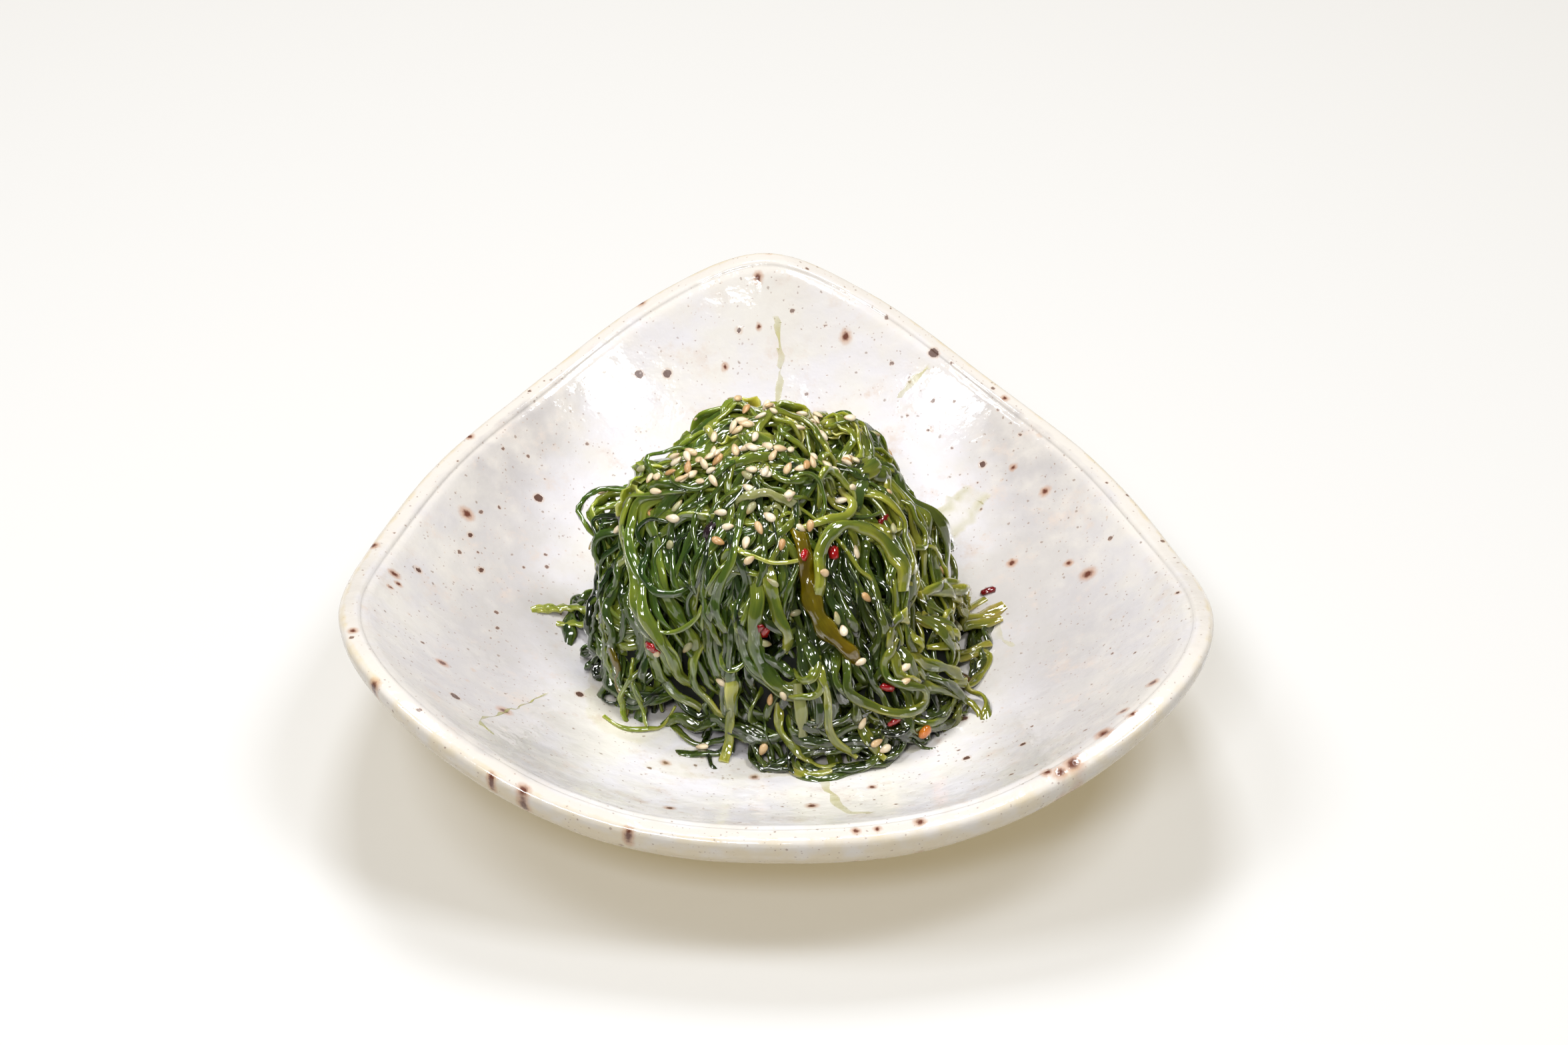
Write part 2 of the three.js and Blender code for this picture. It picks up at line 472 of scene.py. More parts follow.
    def spotted(self, shade: Wire, at: Wire) -> Wire:
        """Burns the large spots through the glaze, each rusty round its edge."""
        flat = at.vector("MULTIPLY", (1.0, 1.0, 0.0))
        nearest = None
        for azimuth, radius, size in self.spots:
            turn = math.radians(azimuth)
            middle = (radius * math.cos(turn), radius * math.sin(turn) + AXIS_Y, 0.0)
            gap = flat.vector("DISTANCE", middle).out("Value") * (1 / size)
            nearest = gap if nearest is None else nearest.math("MINIMUM", gap)
        shade = nearest.mapped(0.9, 2.4, 0.6, 0.0, soft=True).blend(shade, self.rust)
        return nearest.mapped(0.5, 1.15, 0.92, 0.0).blend(shade, self.iron)

    def make(self) -> Material:
        """Builds the material.

        Returns:
            The glaze, which reads the bowl's own place mark: 1 at the rim's inner edge, 3 at its foot.
        """
        material, tree, where = empty_material("glazed speckled stoneware")
        at = where.vector("SCALE", 1 / MM)
        shake = noise(at, 0.9).out("Color").vector("SUBTRACT", (0.5, 0.5, 0.5)).vector("SCALE", 0.9)
        shaken = at.vector("ADD", shake)
        shade, pits = self.speckled(self.coat(at), shaken)
        shade = self.spotted(shade, shaken)
        sugar = noise(at, 1.6)
        waves = bump(noise(at, 0.32), 0.16, bump(noise(at, 0.12, 1.0), 0.35))
        relief = bump(pits, 0.1, bump(sugar, 0.015, waves), strength=0.4, sunk=True)
        dull = pits.math("MULTIPLY_ADD", 0.25, sugar.mapped(0.0, 1.0, 0.07, 0.16))
        end_material(tree, {"Base Color": shade, "Roughness": dull, "IOR": 1.52, "Normal": relief})
        return material


@dataclass(frozen=True)
class StrandFlesh:
    """Shredded wakame in dressing: light soaks into it, and it has lengthwise wrinkles under a wet film."""

    name: str
    stops: tuple[tuple[float, str], ...]  # colour against tone, from the darkest strands to the palest
    soak: float = 1.0  # share of the light that scatters inside
    clearness: float = 0.0  # share that passes straight through
    gloss: float = 0.1
    film: float = 1.0  # share of it that dressing covers
    wrinkle: float = 0.16  # depth of the lengthwise wrinkles
    dimple: float = 0.5  # depth of the dimples
    crinkle: float = 0.035  # depth of the finest creases

    def make(self) -> Material:
        """Builds the material.

        Returns:
            The flesh, which reads each strand's own marks: fibre (across and along, in mm), rim and tone.
        """
        material, tree, where = empty_material(self.name)
        fibre = add_node(tree, "ShaderNodeAttribute", attribute_name="fibre").out("Vector")

        def grain(across: float, along: float, detail: float = 0.0) -> Wire:
            """Makes noise with so many bumps a millimetre across and along the strand."""
            return noise(fibre.vector("MULTIPLY", (across, along, 1.0)), 1.0, detail)

        level = grain(1.5, 0.09, 3.0).math("MULTIPLY_ADD", 0.25, mark(tree, "tone"))
        level = grain(0.2, 0.055, 2.0).math("MULTIPLY_ADD", 0.7, level)
        # painted light: the margins are paler, standing for light that shines through the thin edges
        level = level + mark(tree, "rim").mapped(0.5, 1.0, end=0.1, soft=True)
        plain = graded(level.math("SUBTRACT", 0.51, clamp=True), self.stops)
        # yellower to the right and low down, with slow changes from place to place
        x = add_node(tree, "ShaderNodeSeparateXYZ", {0: where})
        across = x.mapped(-45 * MM, 45 * MM, 0.468, 0.42)
        lower = x.out(2).mapped(15 * MM, 50 * MM, -0.018, 0.0)
        turned = noise(where, 90.0).math("MULTIPLY_ADD", 0.09, across) + lower
        hue = add_node(tree, "ShaderNodeHueSaturation", {"Hue": turned, "Saturation": 1.12, "Color": plain})
        wrinkled = bump(grain(1.3, 0.13), self.wrinkle)
        wet = bump(grain(3.0, 0.7), self.crinkle, bump(grain(0.55, 0.33), self.dimple, wrinkled))
        end_material(tree, {
            "Base Color": hue, "Roughness": self.gloss, "IOR": 1.42, "Specular IOR Level": 0.7,
            "Normal": wet, "Subsurface Weight": self.soak, "Subsurface Radius": (1.0, 1.0, 0.4),
            "Subsurface Scale": 3.5 * MM, "Transmission Weight": self.clearness, "Coat Weight": self.film,
            "Coat Roughness": 0.02, "Coat IOR": 1.6, "Coat Normal": wet,
        })
        return material


@dataclass(frozen=True)
class GrainSkin:
    """Skin of a small dry or pickled grain: matt, faintly mottled, darker towards its tip."""

    name: str
    stops: tuple[tuple[float, str], ...]  # colour against tone
    tip: str
    gloss: float = 0.35
    wet: float = 0.4

    def make(self) -> Material:
        """Builds the material.

        Returns:
            The skin, which reads each grain's own marks: tone, and end, which is 1 at its tip.
        """
        material, tree, where = empty_material(self.name)
        mottle = noise(where, 1300.0, 3.0)
        hue = graded(mottle.math("MULTIPLY_ADD", 0.16, mark(tree, "tone")), self.stops)
        tipped = mark(tree, "end").mapped(0.55, 1.0, end=0.6).blend(hue, self.tip)
        end_material(tree, {
            "Base Color": tipped, "Roughness": self.gloss, "IOR": 1.46,
            "Normal": bump(mottle, 0.05, strength=0.5), "Coat Weight": self.wet, "Coat Roughness": 0.08,
            "Subsurface Weight": 0.15, "Subsurface Radius": (1.0, 0.7, 0.4), "Subsurface Scale": 0.5 * MM,
        })
        return material


@dataclass(frozen=True)
class DressingFilm:
    """Thin dressing that ran off the salad: clear yellow, greener where it stands deeper at its edge."""

    clear: str = "#E8DFA8"
    deep: str = "#A9A65A"

    def make(self) -> Material:
        """Builds the material.

        Returns:
            The dressing, which reads its own mark depth: 0 where it's a film, 1 in its bead of an edge.
        """
        material, tree, where = empty_material("salad dressing")
        depth = mark(tree, "depth")
        uneven = noise(where, 160.0, 3.0).mapped(0.3, 0.7, 0.4, 1.3)
        veil = depth.mapped(0.0, 1.0, end=0.65).math("MULTIPLY", uneven, clamp=True)
        hue = depth.blend(self.clear, self.deep)
        end_material(tree, {"Base Color": hue, "Roughness": 0.06, "IOR": 1.46, "Alpha": veil})
        return material


WAKAME = StrandFlesh(
    name="dressed wakame strands",
    stops=((0.0, "#121A0B"), (0.22, "#283A19"), (0.5, "#475926"), (0.75, "#7A843C"), (1.0, "#ABAB63")),
)
OLIVE_STEM = StrandFlesh(
    name="olive wakame stems", soak=0.4,
    stops=((0.0, "#322C0D"), (0.4, "#5C5212"), (0.75, "#766B22"), (1.0, "#938C44")),
)
AGAR = StrandFlesh(
    name="agar strips", soak=0.3, clearness=0.4, gloss=0.2,
    stops=((0.0, "#536638"), (0.5, "#818D50"), (1.0, "#B1B57E")),
)
WOOD_EAR = StrandFlesh(
    name="wood ear shreds", soak=0.1, gloss=0.2,
    stops=((0.0, "#130B10"), (0.5, "#2A1620"), (1.0, "#4B2A32")),
)
# painted shade: near-black flesh for the heap's core, standing for the shade deep between the strands
PACKED = StrandFlesh(
    name="packed wakame in shade", soak=0.0, wrinkle=0.5, gloss=0.9, film=0.0,
    stops=((0.0, "#070A05"), (0.6, "#10160B"), (1.0, "#1C2614")),
)
SESAME = GrainSkin(
    name="toasted sesame hull", tip="#9D7547",
    stops=((0.0, "#DDD1B8"), (0.5, "#D3C09C"), (0.72, "#BF9C6D"), (0.85, "#B08552"), (0.95, "#9A976E")),
)
CHILLI = GrainSkin(
    name="dried chilli flesh", tip="#6E0A0C", gloss=0.15, wet=0.9,
    stops=((0.0, "#A50E13"), (0.5, "#8A0A0F"), (1.0, "#63080C")),
)
PEPPER = GrainSkin(
    name="pickled orange pepper flesh", tip="#A65A12", gloss=0.15, wet=0.9,
    stops=((0.0, "#D98318"), (1.0, "#B4611A")),
)


# ------------------------------ the bowl


@dataclass(frozen=True)
class Bowl:
    """The shallow stoneware bowl, thrown round and drawn out to three raised corners.

    A point of its wall stands at own_reach + reach_share * rim radius from the axis, and at
    own_lift + lift_share * rim height above the table, so that one section serves every azimuth.
    """

    rim_radius: float = 100.6
    corner_reach: float = 7.4
    corner_sharpness: float = 0.9
    rim_height: float = 42.0
    corner_lift: float = 7.9
    corner_lift_sharpness: float = 2.1
    rear_peak: float = 3.6  # how much higher the rear corner was pinched
    rear_peak_width: float = 0.16  # radians
    floor_height: float = 12.0
    floor_thickness: float = 7.5
    wall_curve: float = 2.8
    underside_curve: float = 2.5
    rim_width: float = 5.4
    rim_depth: float = 9.0
    rim_undercut: float = 3.0
    rim_rounding: float = 1.5
    foot_radius: float = 44.0
    foot_width: float = 6.5
    foot_rounding: float = 1.2
    foot_recess: float = 3.6
    foot_share: float = 0.49  # share of the rim's radius where the underside meets the foot
    turns: int = 300
    unevenness: float = 0.45  # of the throwing, over a hand's breadth
    ripple: float = 0.07  # of the glaze

    def wave(self, azimuth: Array, height: float, sharpness: float) -> Array:
        """A wave with one crest at each corner."""
        turn = 3 * (azimuth - math.pi / 2)
        return height * np.cos(turn) + sharpness * np.cos(2 * turn)

    def rim(self, azimuth: Array) -> Array:
        """Distance of the rim's outer edge from the axis."""
        return self.rim_radius + self.wave(azimuth, self.corner_reach, self.corner_sharpness)

    def top(self, azimuth: Array) -> Array:
        """Height of the rim."""
        turned = (np.mod(azimuth, 2 * math.pi) - math.pi / 2) / self.rear_peak_width
        peak = self.rear_peak * np.exp(-(turned**2))
        return self.rim_height + self.wave(azimuth, self.corner_lift, self.corner_lift_sharpness) + peak

    def inside(self, azimuth: Array, radius: Array) -> Array:
        """Height of the inner wall at a radius."""
        share = np.minimum(1, radius / (self.rim(azimuth) - self.rim_width))
        return self.floor_height + (self.top(azimuth) - self.floor_height) * share**self.wall_curve

    def section(self) -> Array:
        """Draws the section from the middle of the floor over the rim to the middle of the foot.

        Returns:
            Rows of own_reach, reach_share, own_lift, lift_share and place. Place is 1 at the inner edge
            of the rim, 2 at its outer edge, 3 where the foot starts and 4 in the middle below.
        """
        rows = []

        def corner(reach: float, lift: float, size: float, bend: tuple[float, float, int],
                   share: float, place: float) -> None:
            """Rounds a corner of a size about a middle, from one angle to another in so many points."""
            for angle in np.radians(np.linspace(*bend)):
                x, z = size * math.cos(angle), size * math.sin(angle)
                rows.append((reach + x, share, lift + z, share, place))

        size = self.rim_rounding
        for share in np.linspace(0, 1 - size / (self.rim_radius - self.rim_width), 46):
            rise = share**self.wall_curve
            rows.append((-share * self.rim_width, share, self.floor_height * (1 - rise), rise, share))
        corner(size - self.rim_width, -size, size, (162, 90, 5), 1, 1.1)
        corner(-size, -size, size, (90, 0, 6), 1, 2.0)
        for fall in np.linspace(0, 1, 6)[1:]:
            depth = size + fall * (self.rim_depth - size)
            rows.append((-self.rim_undercut * fall**2, 1, -depth, 1, 2.0 + 0.3 * fall))
        base = self.floor_height - self.floor_thickness
        for share in np.linspace(1, self.foot_share, 26)[1:]:
            rise = share**self.underside_curve
            lift = base * (1 - rise) - self.rim_depth * rise
            place = 2.3 + 0.7 * (1 - share) / (1 - self.foot_share)
            rows.append((-share * self.rim_undercut, share, lift, rise, place))
        inner, turn = self.foot_radius - self.foot_width, self.foot_rounding
        rows += [(self.foot_radius, 0, base + 3.7, 0, 3.05), (self.foot_radius, 0, base, 0, 3.1)]
        corner(self.foot_radius - turn, turn, turn, (0, -90, 4), 0, 3.2)
        corner(inner + turn, turn, turn, (-90, -180, 4), 0, 3.3)
        rows.append((inner - 0.3, 0, self.foot_recess - 0.3, 0, 3.4))
        rows.append((inner - 2.0, 0, self.foot_recess, 0, 3.5))
        rows += [(radius, 0, self.foot_recess, 0, 4.0) for radius in np.linspace(inner - 2.0, 0, 8)[1:]]
        section = np.array(rows)
        ahead, behind = 0.75 * section[:-1] + 0.25 * section[1:], 0.25 * section[:-1] + 0.75 * section[1:]
        eased = np.stack([ahead, behind], axis=1).reshape(-1, section.shape[1])
        return np.vstack([section[:1], eased, section[-1:]])

    def tree(self, settings: dict) -> Tree:
        """Builds the tree that turns the section about the axis and draws the rim out to its corners."""
        tree, given = start_tree("turned bowl", settings)
        ring = {"Resolution": given.out("turns"), "Radius": 1.0}
        circle = add_node(tree, "GeometryNodeCurvePrimitiveCircle", ring)
        at = add_node(tree, "ShaderNodeSeparateXYZ", {0: add_node(tree, "GeometryNodeInputPosition")})
        marked = stored(circle, "azimuth", at.out(1).math("ARCTAN2", at))
        profile = add_node(tree, "GeometryNodeMeshToCurve", {0: given})
        swept = add_node(tree, "GeometryNodeCurveToMesh", {"Curve": marked, "Profile Curve": profile})

        azimuth, own_reach, reach_share = named(tree, "azimuth", "own_reach", "reach_share")
        own_lift, lift_share, place = named(tree, "own_lift", "lift_share", "place")
        turn = azimuth.math("MULTIPLY_ADD", 3.0, -1.5 * math.pi)
        first, second = turn.math("COSINE"), (turn * 2.0).math("COSINE")
        widths = (azimuth - math.pi / 2) / given.out("rear_peak_width")
        bell = (widths * widths * -1.0).math("EXPONENT")
        top = bell.math("MULTIPLY_ADD", given.out("rear_peak"), given.out("rim_height"))

        def wave(base: Wire, height: str, sharpness: str) -> Wire:
            """Adds a wave with one crest at each corner to a base."""
            plain = first.math("MULTIPLY_ADD", given.out(height), base)
            return second.math("MULTIPLY_ADD", given.out(sharpness), plain)

        rim = wave(given.out("rim_radius"), "corner_reach", "corner_sharpness")
        reach = rim.math("MULTIPLY_ADD", reach_share, own_reach)
        height = wave(top, "corner_lift", "corner_lift_sharpness").math("MULTIPLY_ADD", lift_share, own_lift)
        y = reach.math("MULTIPLY_ADD", azimuth.math("SINE"), given.out("axis_y"))
        spot = add_node(tree, "ShaderNodeCombineXYZ", {0: reach * azimuth.math("COSINE"), 1: y, 2: height})
        drawn = add_node(tree, "GeometryNodeSetPosition", {"Geometry": swept, "Position": spot})
        merged = add_node(tree, "GeometryNodeMergeByDistance", {"Geometry": drawn, "Distance": WELD})

        here = add_node(tree, "GeometryNodeInputPosition")
        slow = (noise(here, 26.0, 1.0) - 0.5) * given.out("unevenness")
        total = (noise(here, 105.0, 1.0) - 0.5).math("MULTIPLY_ADD", given.out("ripple"), slow)
        held = total * place.mapped(2.6, 3.0, 1.0, 0.0)
        push = add_node(tree, "GeometryNodeInputNormal").vector("SCALE", held)
        thrown = {"Geometry": merged, "Offset": push}
        return end_tree(given, add_node(tree, "GeometryNodeSetPosition", thrown))

    def build(self) -> Thing:
        """Makes the bowl as one closed mesh in its glaze."""
        section = self.section()
        count = len(section)
        line = np.outer(np.linspace(0, 100, count), (1, 0, 0))
        edges = np.stack([np.arange(count - 1), np.arange(1, count)], axis=1)
        plan = raw_mesh("bowl section", line, edges, marks={
            "own_reach": section[:, 0] * MM, "reach_share": section[:, 1], "own_lift": section[:, 2] * MM,
            "lift_share": section[:, 3], "place": section[:, 4],
        })
        lengths = ("rim_radius", "corner_reach", "corner_sharpness", "rim_height", "corner_lift",
                   "corner_lift_sharpness", "rear_peak")
        settings = {name: getattr(self, name) * MM for name in lengths} | {
            "rear_peak_width": self.rear_peak_width, "axis_y": AXIS_Y * MM, "turns": self.turns,
            "unevenness": 2 * self.unevenness * MM, "ripple": 2 * self.ripple * MM,
            "Material": StonewareGlaze().make(),
        }
        return grown("glazed_bowl", plan, self.tree(settings), settings)


# ------------------------------ the heap


class Batch(Enum):
    """The pieces that strands are shared out to, each with its name and its flesh."""

    UNDER = ("wakame_underlayer", WAKAME)
    BACK = ("wakame_back", WAKAME)
    FRONT = ("wakame_front", WAKAME)
    FINE = ("fine_wakame_shreds", WAKAME)
    CROWN = ("wakame_crown", WAKAME)
    LOOSE = ("wakame_loose_ends", WAKAME)
    OLIVE = ("olive_stems", OLIVE_STEM)
    STRIP = ("agar_strips", AGAR)
    EAR = ("wood_ear_shreds", WOOD_EAR)


@dataclass(frozen=True)
class Mound:
    """The heap's outer face, the same as the CAD's, drawn on past its edge over the bowl."""

    bowl: Bowl
    radius: float = 46.2
    shoulder: float = 48.0
    shoulder_lean: float = 0.11  # share by which the left shoulder stands out and the right one in
    crown: float = 79.0
    taper: float = 1.18
    clearance: float = 0.35
    skirt: float = 3.4
    spread: float = 0.62  # millimetres of bowl for each degree past the edge
    skirt_fall: float = 12.0  # degrees past the edge over which the face comes down to the bowl

    def edge(self, azimuth: Array) -> Array:
        """Distance of the mound's edge from the axis."""
        lean = 0.1 * np.cos(azimuth + 0.64)
        lobes = 0.1 * np.cos(3 * azimuth + 2.67)
        tufts = 0.02 * np.sin(7 * azimuth + 0.7) + 0.014 * np.cos(13 * azimuth)
        return self.radius * (1 + lean + lobes + tufts)

    def face(self, azimuth: Array, drop: Array) -> Array:
        """Finds the face's points at azimuths in radians and drops in degrees."""
        edge = self.edge(azimuth)
        rise = np.radians(EDGE - np.minimum(drop, EDGE))
        past = np.maximum(drop - EDGE, 0)
        shoulder = self.shoulder * (1 - self.shoulder_lean * np.cos(azimuth - 0.2))
        reach = shoulder + (edge - shoulder) * np.cos(rise) ** 3
        radius = reach * np.cos(rise) + self.spread * past
        ledge = self.bowl.inside(azimuth, edge) + self.clearance + self.skirt
        flank = ledge + (self.crown - ledge) * np.sin(np.maximum(rise, 0)) ** self.taper
        fallen = self.skirt * (1 - smoothstep(0, self.skirt_fall, past))
        height = np.where(drop > EDGE, self.bowl.inside(azimuth, radius) + self.clearance + fallen, flank)
        return np.stack([radius * np.cos(azimuth), radius * np.sin(azimuth), height], axis=-1)


class Chart:
    """A map of the mound's face. Flat coordinates are degrees of drop from the crown, along +X and +Y."""

    limit = 138
    cells_per_degree = 2
    rim_from, rim_to = 82, 92  # degrees of drop over which the core's face comes up to the heap's own

    def __init__(self, mound: Mound, shell: float) -> None:
        """Draws the map of a mound whose strands lie as deep as the shell over its core."""
        ticks = np.arange(-self.limit, self.limit + 1.0)
        east, north = np.meshgrid(ticks, ticks, indexing="ij")
        self.points = mound.face(np.arctan2(north, east), np.hypot(east, north))
        steps = np.stack([np.gradient(self.points, axis=0), np.gradient(self.points, axis=1)], axis=-1)
        normals = np.cross(steps[..., 0], steps[..., 1])
        for _ in range(4):
            normals = unit(normals)
            padded = np.pad(normals, ((1, 1), (1, 1), (0, 0)), mode="edge")
            normals = padded[:-2, 1:-1] + padded[2:, 1:-1] + padded[1:-1, :-2] + padded[1:-1, 2:]
        self.normals = unit(normals)
        self.degrees = np.linalg.pinv(steps)  # degrees east and north for a millimetre along each axis
        fine = np.arange(-self.limit, self.limit, 1 / self.cells_per_degree)
        far = np.hypot(*np.meshgrid(fine, fine, indexing="ij"))
        floor = -mound.clearance - mound.skirt * (1 - smoothstep(EDGE, EDGE + mound.skirt_fall, far))
        self.tops = (shell + floor) * smoothstep(self.rim_from, self.rim_to, far) - shell

    def read(self, grid: Array, flat: Array) -> Array:
        """Reads one of the maps between its ticks, for rows of flat coordinates."""
        at = np.clip(flat + self.limit, 0, 2 * self.limit - 1e-6)
        low = at.astype(int)
        part = (at - low).reshape(len(at), 2, *([1] * (grid.ndim - 2)))
        i, j = low[:, 0], low[:, 1]
        a, b = part[:, 0], part[:, 1]
        near = grid[i, j] * (1 - a) + grid[i + 1, j] * a
        return near * (1 - b) + (grid[i, j + 1] * (1 - a) + grid[i + 1, j + 1] * a) * b

    def cell(self, flat: Array) -> tuple[Array, Array]:
        """Finds the cells of the height map that hold flat coordinates."""
        at = np.clip((flat + self.limit) * self.cells_per_degree, 0, len(self.tops) - 1).astype(int)
        return at[..., 0], at[..., 1]

    def resampled(self, flat: Array, step: float) -> Array:
        """Walks along a course of flat coordinates in even steps of so many millimetres."""
        spans = np.linalg.norm(np.diff(self.read(self.points, flat), axis=0), axis=1)
        lengths = np.concatenate([[0], np.cumsum(spans)])
        marks = np.linspace(0, lengths[-1], max(5, round(lengths[-1] / step) + 1))
        return np.stack([np.interp(marks, lengths, flat[:, k]) for k in (0, 1)], axis=1)

    def sides(self, flat: Array) -> tuple[Array, Array, Array, Array]:
        """Finds the face's points and normals along a course, and the way left in space and in degrees."""
        points, normals = self.read(self.points, flat), self.read(self.normals, flat)
        left = np.cross(normals, np.gradient(points, axis=0))
        left /= np.linalg.norm(left, axis=1, keepdims=True) + 1e-9
        return points, normals, left, np.einsum("nij,nj->ni", self.read(self.degrees, flat), left)


def flat_course(places: Sequence[Place]) -> Array:
    """Turns azimuths and drops to flat coordinates."""
    return from_polar(*np.array(places, float).T)


@dataclass(frozen=True, kw_only=True)
class Strand:
    """One strand's build."""

    batch: Batch = Batch.FRONT
    width: float = 2.5
    thickness: float = 1.1
    tone: float = 0.4
    shift: float = 0.0  # to the left of its course
    cross: float = 0.0  # how far it runs across its course, as a share of its length
    wander: float = 1.1
    crimp: float = 0.5  # height of its short bends
    twist: float = 30.0  # degrees that it rolls to and fro
    ruffle: float = 0.0  # height of the waves in its margins
    proud: float = 0.0  # how far its middle stands off
    sinks: Span = (3.0, 3.0)  # how deep its two ends are pushed in
    hooks: Span = (0.0, 0.0)  # how far its two ends curl to the left
    ends: Span = (0.65, 0.65)  # share of its width at its two ends
    pale: float = 0.12  # how much paler it is at its ends
    slack: int = 12  # the higher, the more it bridges hollows


@dataclass(frozen=True)
class Bundle(Strand):
    """Strands of one build that lie side by side along one course, each a little different."""

    course: tuple[Place, ...]
    count: int = 1
    spread: float = 0.0
    tones: Span = (0.2, 0.55)
    widths: Span = (1.7, 3.3)
    crossing: float = 0.06  # spread of their cross
    hooking: float = 1.5  # spread of their hooks
    trim: float = 0.14  # the most of its length that a strand starts or ends short by


def single(width: float, tone: float, *course: Place, batch: Batch = Batch.LOOSE,
           **changes: object) -> Bundle:
    """Plans a bundle of one strand, which keeps to its course."""
    plain = {"crossing": 0.0, "wander": 0.2, "crimp": 0.12, "twist": 14.0, "hooking": 0.0, "trim": 0.0,
             "sinks": (3.0, 1.0), "ends": (0.6, 0.6), "pale": 0.15}
    return Bundle(course, widths=(width, width), tones=(tone, tone), batch=batch, **(plain | changes))


SWELLS = (  # azimuth, drop and spread of places where the heap stands out or, below zero, gapes
    (-155, 54, 6, -7), (-148, 60, 4, -4), (171, 50, 6, 3), (165, 40, 7, -1.5), (-160, 34, 5, 1),
    (-130, 60, 5, 1.2), (-91, 63, 4.5, -4.5), (-67, 44, 6, -4), (-127, 33, 3.5, -2.5),
    (-95, 49, 4, -2.5), (-80, 58, 4, -3.5), (-60, 66, 5, -3.5), (-40, 30, 4, -2), (-42, 76, 4, -2.5),
    (-123, 77, 4, -1.5), (-92, 79, 6, -2.5), (-68, 81, 4, -2), (-112, 93, 9, -4), (-50, 88, 8, -2.5),
    (24, 28, 8, -5.5), (8, 45, 8, -4.5), (150, 32, 9, 0.8), (140, 13, 8, -2.2), (-50, 5, 9, 2.2),
    (-172, 20, 6, 1), (20, 55, 7, -3), (45, 32, 8, 1.6), (62, 62, 8, -3), (85, 40, 9, 1.5),
    (108, 66, 8, -3), (128, 40, 7, -2.5), (142, 62, 7, 1.8), (88, 84, 7, 1.2),
)


@dataclass(frozen=True)
class Lot:
    """Strands that lie at random in one part of the heap."""

    count: int
    batch: Batch
    tones: Span
    azimuths: Span = (-180.0, 180.0)
    drops: Span = (5, 80)  # where they start
    ends: Span = (58, 97)  # drops where those that fall end
    reach: Span = (40, 85)  # lengths in degrees of drop of those that stray


